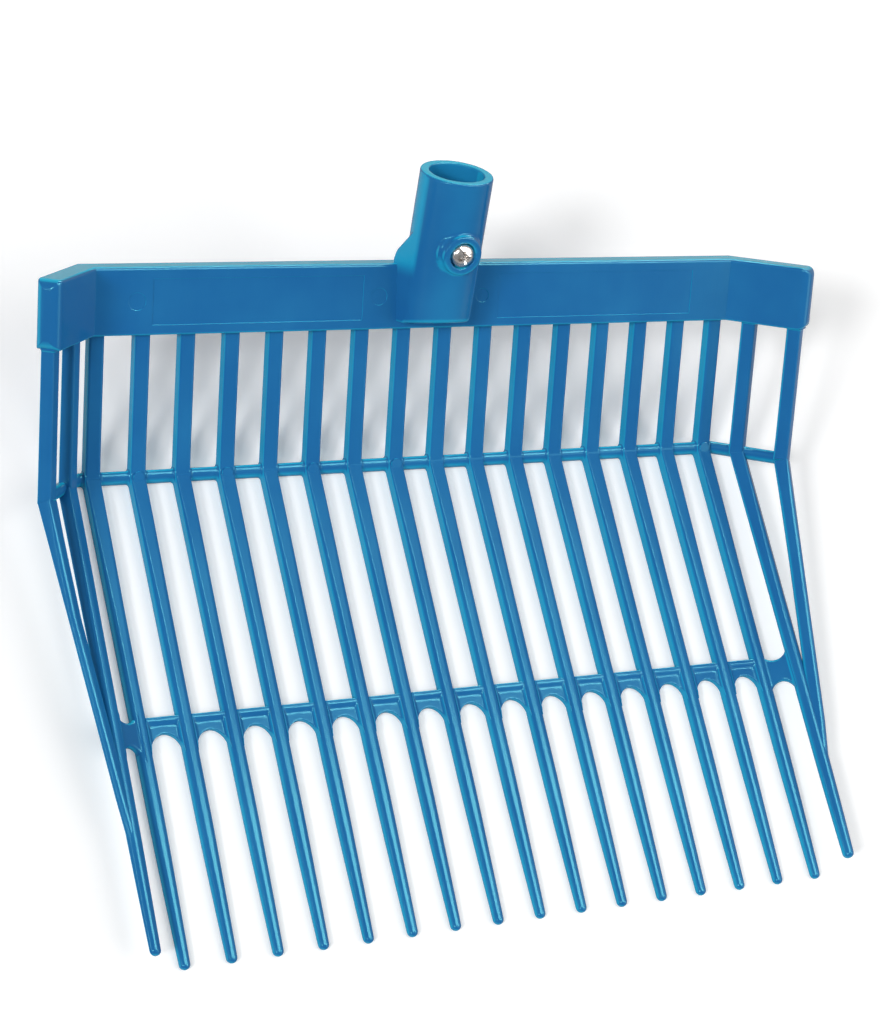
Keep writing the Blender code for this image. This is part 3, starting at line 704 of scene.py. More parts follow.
@dataclass(frozen=True)
class MouldedPlastic(Finish):
    """Glossy tinted plastic: clouded colour, flow lines, handling scuffs, a faint mould grain and a painted light
    colour on the corners that the painted light attribute marks.
    """

    name: str = "blue moulded plastic"
    deep: Triple = (0.0125, 0.132, 0.365)
    light: Triple = (0.017, 0.165, 0.405)
    # The colour of the painted light on faces that turn sideways, up or down.
    painted_light: Triple = (0.018, 0.64, 0.92)
    gleam: Triple = (0.27, 1.0, 0.86)
    index: float = 1.42
    smooth: float = 0.13
    rough: float = 0.26
    cloud_scale: float = 22.0
    flow_scale: float = 60.0
    flow_stretch: Triple = (1.0, 0.25, 0.25)
    shade_range: Pair = (0.40, 0.68)
    cloud_in_painted_light: float = 0.15
    scuff_scale: float = 240.0
    scuff_stretch: Triple = (1.0, 0.18, 0.3)
    scuff_range: Pair = (0.60, 0.76)
    grain_scale: float = 1400.0
    drag_scale: float = 420.0
    drag_stretch: Triple = (1.0, 0.05, 0.06)
    bump_strength: float = 0.08
    bump_depth: float = 0.5 * MM

    def sockets(self, graph: NodeGraph) -> dict[str, object]:
        """Return the values and links of the shader's sockets.

        Args:
            graph: the material's tree.

        Returns:
            A value or link for each socket's name.
        """
        clouds = graph.noise(self.cloud_scale, 3.0)
        flow = graph.noise(self.flow_scale, 2.0, self.flow_stretch)
        share = (clouds * 0.7 + flow * 0.3).above(*self.shade_range)
        # The painted light share stored on each corner of the mesh.
        edges = graph.node("ShaderNodeAttribute", {"attribute_type": "GEOMETRY",
                                                   "attribute_name": PAINTED_LIGHT_ATTRIBUTE}).number("Fac")
        scuffs = graph.noise(self.scuff_scale, 4.0, self.scuff_stretch).above(*self.scuff_range)
        wear = (clouds * 0.4 + scuffs * 0.6).above(0.0, 1.0)
        grain = graph.noise(self.grain_scale, 2.0)
        drag = graph.noise(self.drag_scale, 2.0, self.drag_stretch)
        height = grain * 0.30 + drag * 0.70 + scuffs * 0.2
        # Painted light: the clouded colour is mixed towards the painted light colour.
        painted_mix = edges * (share * self.cloud_in_painted_light + (1.0 - self.cloud_in_painted_light))
        return {"Base Color": graph.blend(painted_mix, graph.blend(share, self.deep, self.light), self.painted_light),
                "Roughness": wear * (self.rough - self.smooth) + self.smooth,
                "Normal": graph.bump(self.bump_strength, self.bump_depth, height),
                "IOR": self.index, "Specular Tint": (*self.gleam, 1.0)}


@dataclass(frozen=True)
class PolishedSteel(Finish):
    """Plated steel with turning marks."""

    name: str = "polished steel"
    bright: Triple = (0.70, 0.68, 0.66)
    dull: Triple = (0.46, 0.44, 0.42)
    smooth: float = 0.10
    rough: float = 0.30
    stain_scale: float = 420.0
    stain_range: Pair = (0.42, 0.72)
    line_scale: float = 2600.0
    line_stretch: Triple = (1.0, 0.12, 0.12)
    bump_strength: float = 0.12
    bump_depth: float = 0.2 * MM

    def sockets(self, graph: NodeGraph) -> dict[str, object]:
        """Return the values and links of the shader's sockets.

        Args:
            graph: the material's tree.

        Returns:
            A value or link for each socket's name.
        """
        stain = graph.noise(self.stain_scale, 4.0).above(*self.stain_range)
        lines = graph.noise(self.line_scale, 2.0, self.line_stretch)
        return {"Base Color": graph.blend(stain, self.bright, self.dull), "Metallic": 1.0,
                "Roughness": (stain * 0.6 + lines * 0.4) * (self.rough - self.smooth) + self.smooth,
                "Normal": graph.bump(self.bump_strength, self.bump_depth, lines + stain * 0.5)}


@dataclass(frozen=True)
class Nylon(Finish):
    """Satin white nylon of the lock nut's ring."""

    name: str = "white nylon"
    clean: Triple = (0.80, 0.80, 0.77)
    soiled: Triple = (0.62, 0.61, 0.56)
    smooth: float = 0.35
    rough: float = 0.55
    cloud_scale: float = 700.0
    cloud_range: Pair = (0.4, 0.75)
    bump_strength: float = 0.15
    bump_depth: float = 0.2 * MM
    soak: float = 0.1
    soak_depth: float = 1.0 * MM

    def sockets(self, graph: NodeGraph) -> dict[str, object]:
        """Return the values and links of the shader's sockets.

        Args:
            graph: the material's tree.

        Returns:
            A value or link for each socket's name.
        """
        cloud = graph.noise(self.cloud_scale, 3.0)
        return {"Base Color": graph.blend(cloud.above(*self.cloud_range), self.clean, self.soiled),
                "Roughness": cloud * (self.rough - self.smooth) + self.smooth,
                "Normal": graph.bump(self.bump_strength, self.bump_depth, cloud),
                "Subsurface Weight": self.soak, "Subsurface Scale": self.soak_depth}


class RepeatAcross:
    """Geometry Nodes that repeat a template across the head and draw its copies in."""

    def __init__(self) -> None:
        """Build the node tree: a line of copies, each point drawn in below the knee."""
        self.tree = bpy.data.node_groups.new("repeat_across_head", "GeometryNodeTree")
        face = self.tree.interface
        face.new_socket("Template", in_out="INPUT", socket_type="NodeSocketGeometry")
        face.new_socket("Copies", in_out="OUTPUT", socket_type="NodeSocketGeometry")
        self.inputs = {name: face.new_socket(name, in_out="INPUT", socket_type=f"NodeSocket{kind}").identifier
                       for name, kind in (("Count", "Int"), ("Pitch", "Float"), ("First X", "Float"),
                                          ("Knee Y", "Float"), ("Draw In", "Float"), ("Finish", "Material"))}
        graph = NodeGraph(self.tree)
        entry = graph.node("NodeGroupInput")
        first = graph.node("ShaderNodeCombineXYZ", {}, {"X": entry.out("First X")})
        step = graph.node("ShaderNodeCombineXYZ", {}, {"X": entry.out("Pitch")})
        line = graph.node("GeometryNodeMeshLine", {"mode": "OFFSET"}, {
            "Count": entry.out("Count"), "Start Location": first.out(), "Offset": step.out()})
        copies = graph.node("GeometryNodeInstanceOnPoints", {}, {"Points": line.out(),
                                                                 "Instance": entry.out("Template")})
        solid = graph.node("GeometryNodeRealizeInstances", {}, {"Geometry": copies.out()})
        spot = graph.node("ShaderNodeSeparateXYZ", {}, {0: graph.node("GeometryNodeInputPosition").out()})
        below = entry.number("Knee Y") - spot.number("Y")
        reach = below.maths("MAXIMUM", below, 0.0)
        inwards = reach * entry.number("Draw In") * spot.number("X") * -1.0
        offset = graph.node("ShaderNodeCombineXYZ", {}, {"X": inwards})
        move = graph.node("GeometryNodeSetPosition", {}, {"Geometry": solid.out(), "Offset": offset.out()})
        whole = graph.node("GeometryNodeRealizeInstances", {}, {"Geometry": move.out()})
        finish = graph.node("GeometryNodeSetMaterial", {}, {"Geometry": whole.out(),
                                                            "Material": entry.out("Finish")})
        graph.node("NodeGroupOutput", {}, {"Copies": finish.out()})

    def run(self, template: Object, sizes: dict[str, object]) -> Object:
        """Repeat a template object and bake the result.

        Args:
            template: the object that holds one copy at the middle of the head.
            sizes: a value for each named input.

        Returns:
            The template object, whose mesh now holds every copy.
        """
        modifier = template.modifiers.new("repeat", "NODES")
        modifier.node_group = self.tree
        for name, value in sizes.items():
            modifier[self.inputs[name]] = value
        return baked(template)


@dataclass
class TineBasket:
    """The central tines, the bars that tie them and the bays of the toe bar."""

    sizes: HeadSizes
    waist: float = 7.1 * MM
    tip_width: float = 4.9 * MM
    tip_depth: float = 3.4 * MM
    tip_middle: float = 0.4
    tip_low: float = 0.3
    bar_depth: float = 6.2 * MM
    edge_radius: float = 0.8 * MM
    upper_radius: float = 1.35 * MM
    crest_radius: float = 2.9 * MM
    crest_by: float = 75.0 * MM
    crest_flat: float = 0.35 * MM
    side_flat: float = 0.5 * MM
    back_radius: float = 0.6 * MM
    taper_from: float = 165.0 * MM
    taper_power: float = 1.5
    lower_shares: tuple[float, ...] = (0.008, 0.03, 0.1, 0.2, 0.3, 0.4, 0.5, 0.6, 0.68, 0.72, 0.77, 0.82, 0.87,
                                       0.92, 0.96, 1.0)
    tip_turns: tuple[int, ...] = (15, 30, 45, 58, 70, 80, 87)
    root_depth: float = 1.6 * MM
    root_fillet: float = 1.1 * MM
    root_shares: tuple[float, ...] = (0.0, 0.1, 0.3, 0.6, 1.0)
    bar_shares: tuple[float, ...] = (0.8, 0.6, 0.4, 0.2)
    bend: float = 1.8 * MM
    crest_bends: float = 4.0
    toe_bar_at: float = 118.0 * MM
    web_height: float = 7.6 * MM
    web_depth: float = 3.3 * MM
    web_back: float = 0.35 * MM
    web_back_edge: float = 0.5 * MM
    web_bite: float = 0.5 * MM
    web_edge: float = 0.4 * MM
    wing_web_edge: float = 1.5 * MM
    rim_edge: float = 0.35 * MM
    rim_height: float = 2.9 * MM
    rim_step: float = 2.2 * MM
    rim_depth: float = 4.7 * MM
    slot_stretch: float = 1.3
    slot_overlap: float = 0.4 * MM
    bay_fillet: float = 1.6 * MM
    bay_fillet_share: float = 0.9
    bay_columns: int = 28
    bay_rows: int = 18
    knee_height: float = 6.3 * MM
    knee_depth: float = 5.9 * MM
    knee_shift: float = -0.25 * MM
    knee_radius: float = 2.0 * MM
    knee_low_radius: float = 3.9 * MM
    knee_back: float = 1.55 * MM
    knee_fillet: float = 1.5 * MM
    knee_fillet_share: float = 0.8
    collar_shares: tuple[float, ...] = (1.0, 0.6, 0.35, 0.15, 0.04, 0.0)
    collar_bite: float = 0.05 * MM
    collar_sink: float = 0.02 * MM
    pin_marks: tuple[int, ...] = (1, 3, 5, 7, 15)
    pin_radius: float = 2.7 * MM
    pin_rise: float = 1.05 * MM
    pin_depth: float = 2.0 * MM
    pin_edge: float = 0.12 * MM
    pin_sides: int = 40
    pin_tilt: float = 0.24

    def section(self, width: float, depth: float, crest: float) -> list[Pair]:
        """Return a tine's section, flat backed with a round crest.

        Args:
            width: its width.
            depth: its depth from back to crest.
            crest: the radius of the crest's two corners.

        Returns:
            (side, rise) points.
        """
        crest = min(crest, width / 2 - self.crest_flat, depth - self.back_radius - self.side_flat)
        half, back = width / 2, self.back_radius
        return (arc((half - back, back), back, -90, 0, 3) + arc((half - crest, depth - crest), crest, 0, 90, 6)
                + arc((crest - half, depth - crest), crest, 90, 180, 6)
                + arc((back - half, back), back, 180, 270, 3))

    def lower_section(self, distance: float) -> list[Pair]:
        """Return a tine's section below the knee.

        Args:
            distance: how far below the knee it lies.

        Returns:
            (side, rise) points.
        """
        sizes = self.sizes
        crest = mix(self.edge_radius, self.crest_radius, min(distance / self.crest_by, 1.0))
        depth = mix(sizes.knee_depth, self.tip_depth, (distance / sizes.tine_length) ** 2)
        width = mix(sizes.tine_width, self.waist, min(distance / self.taper_from, 1.0))
        taper = max(distance - self.taper_from, 0.0) / (sizes.tine_length - self.taper_from)
        return self.section(mix(width, self.tip_width, taper**self.taper_power), depth, crest)

    def upper_rings(self, upper: Run, lower: Run) -> list[Ring]:
        """Return a bar's rings from inside the header down to the knee.

        Args:
            upper: the run above the knee.
            lower: the run below the knee.

        Returns:
            The rings, the last of them mitred on the knee.
        """
        sizes = self.sizes
        drop = sizes.knee_drop
        heights = [drop + self.root_depth]
        heights += [drop - self.root_fillet * share for share in self.root_shares]
        heights += [drop * share for share in self.bar_shares] + [self.bend]
        rings = []
        for height in heights:
            flare = fillet(drop - height, self.root_fillet)
            depth = mix(sizes.knee_depth, self.bar_depth, min(height / drop, 1.0))
            crest = mix(self.edge_radius, self.upper_radius, min(height / (self.crest_bends * self.bend), 1.0))
            rings.append(upper.ring(height, self.section(sizes.tine_width + 2 * flare, depth + flare, crest)))
        meeting = (upper.front + lower.front) / (1 + upper.front.dot(lower.front))
        section = self.section(sizes.tine_width, sizes.knee_depth, self.edge_radius)
        rings.append(Run(upper.start, upper.along, upper.across, meeting).ring(0.0, section))
        return rings

    def lower_rings(self, lower: Run, length: float) -> list[Ring]:
        """Return a tine's rings from just below the knee to its rounded tip.

        Args:
            lower: the run below the knee.
            length: the tine's length along it.

        Returns:
            The rings.
        """
        radius = self.tip_width / 2
        straight = length - radius
        rings = [lower.ring(straight * share, self.lower_section(straight * share)) for share in self.lower_shares]
        middle = self.tip_depth * self.tip_middle
        for degrees in self.tip_turns:
            turn = math.radians(degrees)
            narrow = math.cos(turn)
            low = mix(self.tip_low, 1.0, narrow)
            rings.append(lower.ring(straight + radius * math.sin(turn),
                                    [(side * narrow, mix(middle, rise, low))
                                     for side, rise in self.lower_section(straight)]))
        return rings

    def knee_section(self, grow: float) -> list[Pair]:
        """Return the knee bar's section, grown on its front and edges.

        Args:
            grow: how much it is grown.

        Returns:
            (rise, height) points.
        """
        half = self.knee_height / 2
        high, low = self.knee_radius, self.knee_low_radius
        outline = [(-half, self.knee_back), (half, self.knee_back)]
        outline += arc((half - high, self.knee_depth - high), high, 0, 90, 6)
        outline += arc((low - half, self.knee_depth - low), low, 90, 180, 8)
        tilt = self.sizes.knee_angle / 2
        section = []
        for height, rise in outline:
            height = height * (1 + grow / half) - self.knee_shift
            rise += grow * (rise - self.knee_back) / (self.knee_depth - self.knee_back)
            section.append((rise * math.cos(tilt) - height * math.sin(tilt) - self.sizes.sheet_back,
                            height * math.cos(tilt) + rise * math.sin(tilt) - self.sizes.knee_drop))
        return section

    def knee_collar(self) -> list[Ring]:
        """Draw the fillets where the knee bar meets a tine's two sides.

        Returns:
            Their rings.
        """
        rings = []
        shares = self.collar_shares
        for sign, share in [(-1, share) for share in shares] + [(1, share) for share in shares[::-1]]:
            x = sign * (self.sizes.tine_width / 2 - self.collar_bite + self.knee_fillet * share)
            grow = fillet(self.knee_fillet * share, self.knee_fillet) * self.knee_fillet_share
            rings.append([Vector((x, -rise, height))
                          for rise, height in self.knee_section(grow - self.collar_sink)])
        return rings

    def tine_shape(self) -> Shape:
        """Draw one tine in the middle of the head, with its knee fillets.

        Returns:
            The shape.
        """
        sizes = self.sizes
        shape = Shape()
        upper, lower = Run(sizes.knee(0.0), UP, ACROSS, FORWARD), sizes.tine_lower(0.0)
        shape.loft(self.upper_rings(upper, lower) + self.lower_rings(lower, sizes.tine_length))
        shape.loft(self.knee_collar())
        return shape

    def bay(self, shape: Shape, lower: Run, width: float, top_at: float, height: float, dip: float) -> None:
        """Add one bay of a toe bar: a sunk web with a rim, fillets and a round slot end.

        Args:
            shape: the shape that it goes into.
            lower: the run of the tine on its left.
            width: the tines' spacing.
            top_at: the distance of the bar's upper edge below the knee.
            height: the least height of the web.
            dip: how far the upper edge is hollowed, or 0 for a straight edge with a rim.
        """
        half = self.waist / 2
        inner = half - self.web_bite
        middle = width / 2
        radius = middle - half
        reach = radius * self.slot_stretch
        spring = top_at + height + reach
        low_round = self.wing_web_edge if dip else self.web_edge
        top_round = self.wing_web_edge if dip else self.rim_edge
        front, back = [], []
        for row in range(self.bay_rows + 1):
            high, flat = [], []
            for column in range(self.bay_columns + 1):
                x = mix(inner, width - inner, ease(column / self.bay_columns))
                beside = min(max((x - middle) / (radius + self.slot_overlap), -1.0), 1.0)
                bulge = math.sqrt(max(1 - beside**2, 0.0))
                low_edge = spring - reach * bulge
                top_edge = top_at + dip * (bulge - 1)
                distance = mix(top_edge, low_edge, ease(row / self.bay_rows))
                near = min(x - half, width - half - x)
                rise = self.web_depth + fillet(near, self.bay_fillet) * self.bay_fillet_share
                if not dip:
                    past = min(max((distance - top_at - self.rim_height) / self.rim_step + 0.5, 0.0), 1.0)
                    rise = max(rise, mix(self.rim_depth, self.web_depth, ease(past)))
                rise -= fillet(min(low_edge - distance, (low_edge - top_edge) / 2), low_round)
                rise -= fillet(distance - top_edge, top_round)
                sunk = self.web_back + fillet(low_edge - distance, self.web_back_edge)
                high.append(lower.point(distance, x, rise))
                flat.append(lower.point(distance, x, sunk))
            front.append(high)
            back.append(flat)
        shape.slab(front, back)

    def bay_shape(self) -> Shape:
        """Draw one bay of the toe bar, centred in the middle of the head.

        Returns:
            The shape.
        """
        shape = Shape()
        pitch = self.sizes.pitch
        self.bay(shape, self.sizes.tine_lower(-pitch / 2), pitch, self.toe_bar_at, self.web_height, 0.0)
        return shape

    def add_pin_marks(self, shape: Shape) -> None:
        """Add the round mould pin marks on some of the crossings at the knee.

        Args:
            shape: the shape that they go into.
        """
        sizes = self.sizes
        middle = sizes.knee_angle / 2
        normal = sizes.leaning(sizes.knee_angle * self.pin_tilt)
        turn = Matrix((ACROSS, normal.cross(ACROSS), normal)).transposed().to_4x4()
        top, radius, edge = self.pin_rise, self.pin_radius, self.pin_edge
        profile = [(0.0, top - self.pin_depth), (radius, top - self.pin_depth), (radius, top - edge),
                   (radius - edge, top), (0.0, top)]
        for index in self.pin_marks:
            knee = sizes.knee(index * sizes.pitch - sizes.half_width)
            corner = knee + sizes.leaning(middle) * (sizes.knee_depth / math.cos(middle))
            shape.turned(profile, self.pin_sides, Matrix.Translation(corner) @ turn)

    def repeat(self, shape: Shape, name: str, count: int, material: Material) -> Object:
        """Repeat a shape across the head with Geometry Nodes.

        Args:
            shape: one copy at the middle of the head.
            name: the object's name.
            count: how many copies.
            material: their material.

        Returns:
            The object.
        """
        sizes = self.sizes
        return RepeatAcross().run(shape.to_object(name, sizes.lying()), {
            "Count": count, "Pitch": sizes.pitch, "First X": -(count - 1) / 2 * sizes.pitch,
            "Knee Y": (sizes.lying() @ sizes.knee(0.0)).y,
            "Draw In": sizes.convergence / sizes.tine_length, "Finish": material})

    def build(self, material: Material) -> None:
        """Make the tines, the toe bar's bays and the knee bar.

        Args:
            material: their material.
        """
        sizes = self.sizes
        tines = self.repeat(self.tine_shape(), "tines", sizes.central_tines, material)
        bays = self.repeat(self.bay_shape(), "toe_bar", sizes.central_tines - 1, material)
        shape = Shape()
        reach = sizes.outer_bar_at - sizes.sheet_back * sizes.fold_slope
        shape.loft(sizes.folded_loops(self.knee_section(0.0), [(reach, 0.0)]))
        self.add_pin_marks(shape)
        for made in (tines, bays, shape.to_object("knee_bar", sizes.lying())):
            dress(shade(made), material, Slot.MOULDING, "head", "fork_head")


@dataclass
class Wing:
    """One folded wing's tine, outer bar and web below the header."""

    sizes: HeadSizes
    basket: TineBasket
    side: Side
    bar_waist: float = 7.1 * MM
    bar_depth: float = 3.7 * MM
    bar_end_width: float = 5.2 * MM
    bar_slim_by: float = 0.35
    bar_end_from: float = 0.86
    bar_lift: float = 0.25 * MM
    bar_crest: float = 2.3 * MM
    bar_round_by: float = 0.15
    web_at: float = 120.3 * MM
    web_height: float = 11.4 * MM
    web_hollow: float = 6.0 * MM

    def runs(self, offset: float, end: Vector) -> tuple[Run, Run]:
        """Return a bar's upper run, and its lower run to a given end.

        Args:
            offset: how far past the fold the bar lies.
            end: where its lower run points.

        Returns:
            The two runs.
        """
        sizes = self.sizes
        knee = sizes.wing_knee(offset, self.side)
        level = sizes.wing_level(self.side)
        face = face_normal(level, sizes.tine_run)
        along = (end - knee).normalized()
        across = along.cross(face).normalized()
        if across.dot(level) < 0:
            across = -across
        return Run(knee, UP, level, face_normal(level, UP)), Run(knee, along, across, face)

    def bar_rings(self, lower: Run, length: float) -> list[Ring]:
        """Return the outer bar's rings from just below the knee to its end in the wing tine.

        Args:
            lower: its run.
            length: its length.

        Returns:
            The rings.
        """
        rings = []
        sizes = self.sizes
        for share in (0.01, 0.05, 0.12, 0.2, 0.28, self.bar_slim_by, 0.5, 0.65, 0.76, self.bar_end_from, 0.93, 1.0):
            slim = min(share / self.bar_slim_by, 1.0)
            sunk = max(share - self.bar_end_from, 0.0) / (1 - self.bar_end_from)
            width = mix(mix(sizes.tine_width, self.bar_waist, slim), self.bar_end_width, sunk)
            crest = mix(self.basket.edge_radius, self.bar_crest, min(share / self.bar_round_by, 1.0))
            section = self.basket.section(width, mix(sizes.knee_depth, self.bar_depth, slim), crest)
            rings.append(lower.ring(length * share, [(side, self.bar_lift + rise) for side, rise in section]))
        return rings

    def add_web(self, shape: Shape) -> None:
        """Add the web that ties the wing tine to the last central tine.

        Args:
            shape: the shape that it goes into.
        """
        sizes = self.sizes
        sign = self.side.value
        start = sizes.knee(sign * sizes.half_width * (1 - sizes.convergence * self.web_at / sizes.tine_length))
        lean = ACROSS * sign * sizes.wing_tine_lean * self.web_at / sizes.wing_tine_length
        end = sizes.wing_knee(sizes.wing_tine_at, self.side) - lean
        end -= sizes.tine_run * (end - start).dot(sizes.tine_run)
        across = (end - start).normalized()
        lower = Run(start, sizes.tine_run, across, face_normal(across, sizes.tine_run))
        self.basket.bay(shape, lower, (end - start).length, self.web_at, self.web_height, self.web_hollow)

    def build(self, material: Material) -> None:
        """Make the wing's tine, outer bar and web.

        Args:
            material: their material.
        """
        sizes, basket = self.sizes, self.basket
        shape = Shape()
        start = sizes.wing_knee(sizes.wing_tine_at, self.side)
        tip = start + sizes.tine_run * sizes.wing_tine_length - ACROSS * self.side.value * sizes.wing_tine_lean
        upper, lower = self.runs(sizes.wing_tine_at, tip)
        shape.loft(basket.upper_rings(upper, lower) + basket.lower_rings(lower, sizes.wing_tine_length))
        join = start.lerp(tip, sizes.outer_bar_run / sizes.wing_tine_length)
        upper, lower = self.runs(sizes.outer_bar_at, join)
        shape.loft(basket.upper_rings(upper, lower) + self.bar_rings(lower, (join - lower.start).length))
        self.add_web(shape)
        made = shape.to_object(f"wing_{self.side.name.lower()}", sizes.lying())
        dress(shade(made), material, Slot.MOULDING, "head", "fork_head")


@dataclass
class FoldedHeader:
    """The folded channel header with its blank panels, pockets and mould marks."""

    sizes: HeadSizes
    height: float = 31.5 * MM
    depth: float = 11.6 * MM
    wall: float = 3.5 * MM
    flange: float = 3.2 * MM
    top_radius: float = 1.6 * MM
    low_radius: float = 1.0 * MM
    foot_radius: float = 0.5 * MM
    rib: float = 3.0 * MM
    end_wall: float = 4.0 * MM
    end_radius: float = 4.6 * MM
    wing_length: float = 41.6 * MM
    pocket_radius: float = 0.7 * MM
    panel_sink: float = 0.40 * MM
    mark_sink: float = 0.28 * MM
    mark_sides: int = 48
    tool_out: float = 4.0 * MM
    edge: float = 0.25 * MM
    panels: tuple[tuple[float, float, float, float], ...] = (
        (-140.5, -35.7, 4.7, 26.0), (36.3, 145.8, 4.2, 26.2))
    marks: tuple[Triple, ...] = ((-148.0, 15.7, 4.1), (-27.4, 15.8, 4.1), (27.5, 15.4, 3.4))

    def section(self) -> list[Pair]:
        """Draw the header's section with its four rounded corners.

        Returns:
            (rise, height) points.
        """
        low, top, foot = self.low_radius, self.top_radius, self.foot_radius
        return (arc((-low, low), low, -90, 0, 5) + arc((-top, self.height - top), top, 0, 90, 7)
                + arc((low - self.depth, self.height - low), low, 90, 180, 5)
                + arc((foot - self.depth, foot), foot, 180, 270, 4))

    def pocket_outlines(self, side: Side) -> list[Ring]:
        """Return the outlines of one half's pockets, which are open at the back.

        Args:
            side: which half.

        Returns:
            An outline on the lower flange for each pocket.
        """
        sizes = self.sizes
        half_rib = self.rib / 2
        deep = self.depth + self.wall
        rib_at = sizes.wing_tine_at - sizes.sheet_back * sizes.fold_slope
        outlines = []
        for index in range(sizes.central_tines // 2 - 1):
            near = max((index + 0.5) * sizes.pitch, sizes.socket_radius) + half_rib
            far = (index + 1.5) * sizes.pitch - half_rib
            outlines.append([Vector((side.value * x, y, self.flange)) for x, y in
                             ((near, self.wall), (far, self.wall), (far, deep), (near, deep))])
        last = sizes.half_width + half_rib
        folds = [sizes.fold_half_width + y * sizes.fold_slope for y in (self.wall, deep)]
        corners = [Vector((side.value * x, y, self.flange)) for x, y in
                   ((last, deep), (last, self.wall), (folds[0], self.wall))]
        corners += [sizes.wing_point(side, rib_at - half_rib, -y, self.flange) for y in (self.wall, deep)]
        corners.append(Vector((side.value * folds[1], deep, self.flange)))
        near, far = rib_at + half_rib, self.wing_length - self.end_wall
        return outlines + [corners, [sizes.wing_point(side, reach, -y, self.flange) for reach, y in
                                     ((near, self.wall), (far, self.wall), (far, deep), (near, deep))]]

    def cut_pockets(self, header: Object) -> None:
        """Cut the pockets behind the header.

        Args:
            header: the header.
        """
        pockets = Shape()
        for side in Side:
            for outline in self.pocket_outlines(side):
                pockets.block(outline, self.height - 2 * self.flange)
        pockets.round_edges(self.pocket_radius, 3)
        cut(header, pockets)

    def cut_front(self, header: Object) -> None:
        """Cut the shallow panels and the round mould marks into the front.

        Args:
            header: the header.
        """
        panels = Shape()
        for low_x, high_x, low_z, high_z in self.panels:
            out, sunk = -self.tool_out, self.panel_sink
            panels.block([Vector((x * MM, y, low_z * MM)) for x, y in
                          ((low_x, out), (high_x, out), (high_x, sunk), (low_x, sunk))], (high_z - low_z) * MM)
        cut(header, panels)
        marks = Shape()
        for x, z, radius in self.marks:
            place = Matrix.Translation((x * MM, 0.0, z * MM)) @ Matrix.Rotation(math.pi / 2, 4, "X")
            marks.turned([(0.0, -self.mark_sink), (radius * MM, -self.mark_sink), (radius * MM, self.tool_out),
                          (0.0, self.tool_out)], self.mark_sides, place)
        cut(header, marks)

    def build(self, material: Material) -> None:
        """Make the header and cut its pockets, panels and marks.

        Args:
            material: its material.
        """
        sizes = self.sizes
        ends = []
        for degrees in range(0, 91, 15):
            turn = math.radians(degrees)
            ends.append((self.wing_length - self.end_radius * (1 - math.sin(turn)),
                         self.end_radius * (1 - math.cos(turn))))
        shape = Shape()
        shape.loft(sizes.folded_loops(self.section(), ends))
        header = shape.to_object("header")
        self.cut_pockets(header)
        self.cut_front(header)
        header.data.transform(sizes.lying())
        modify(header, "BEVEL", width=self.edge, segments=2, limit_method="ANGLE", angle_limit=SHARP_ANGLE,
               harden_normals=False)
        baked(header)
        dress(shade(header), material, Slot.MOULDING, "head", "fork_head")


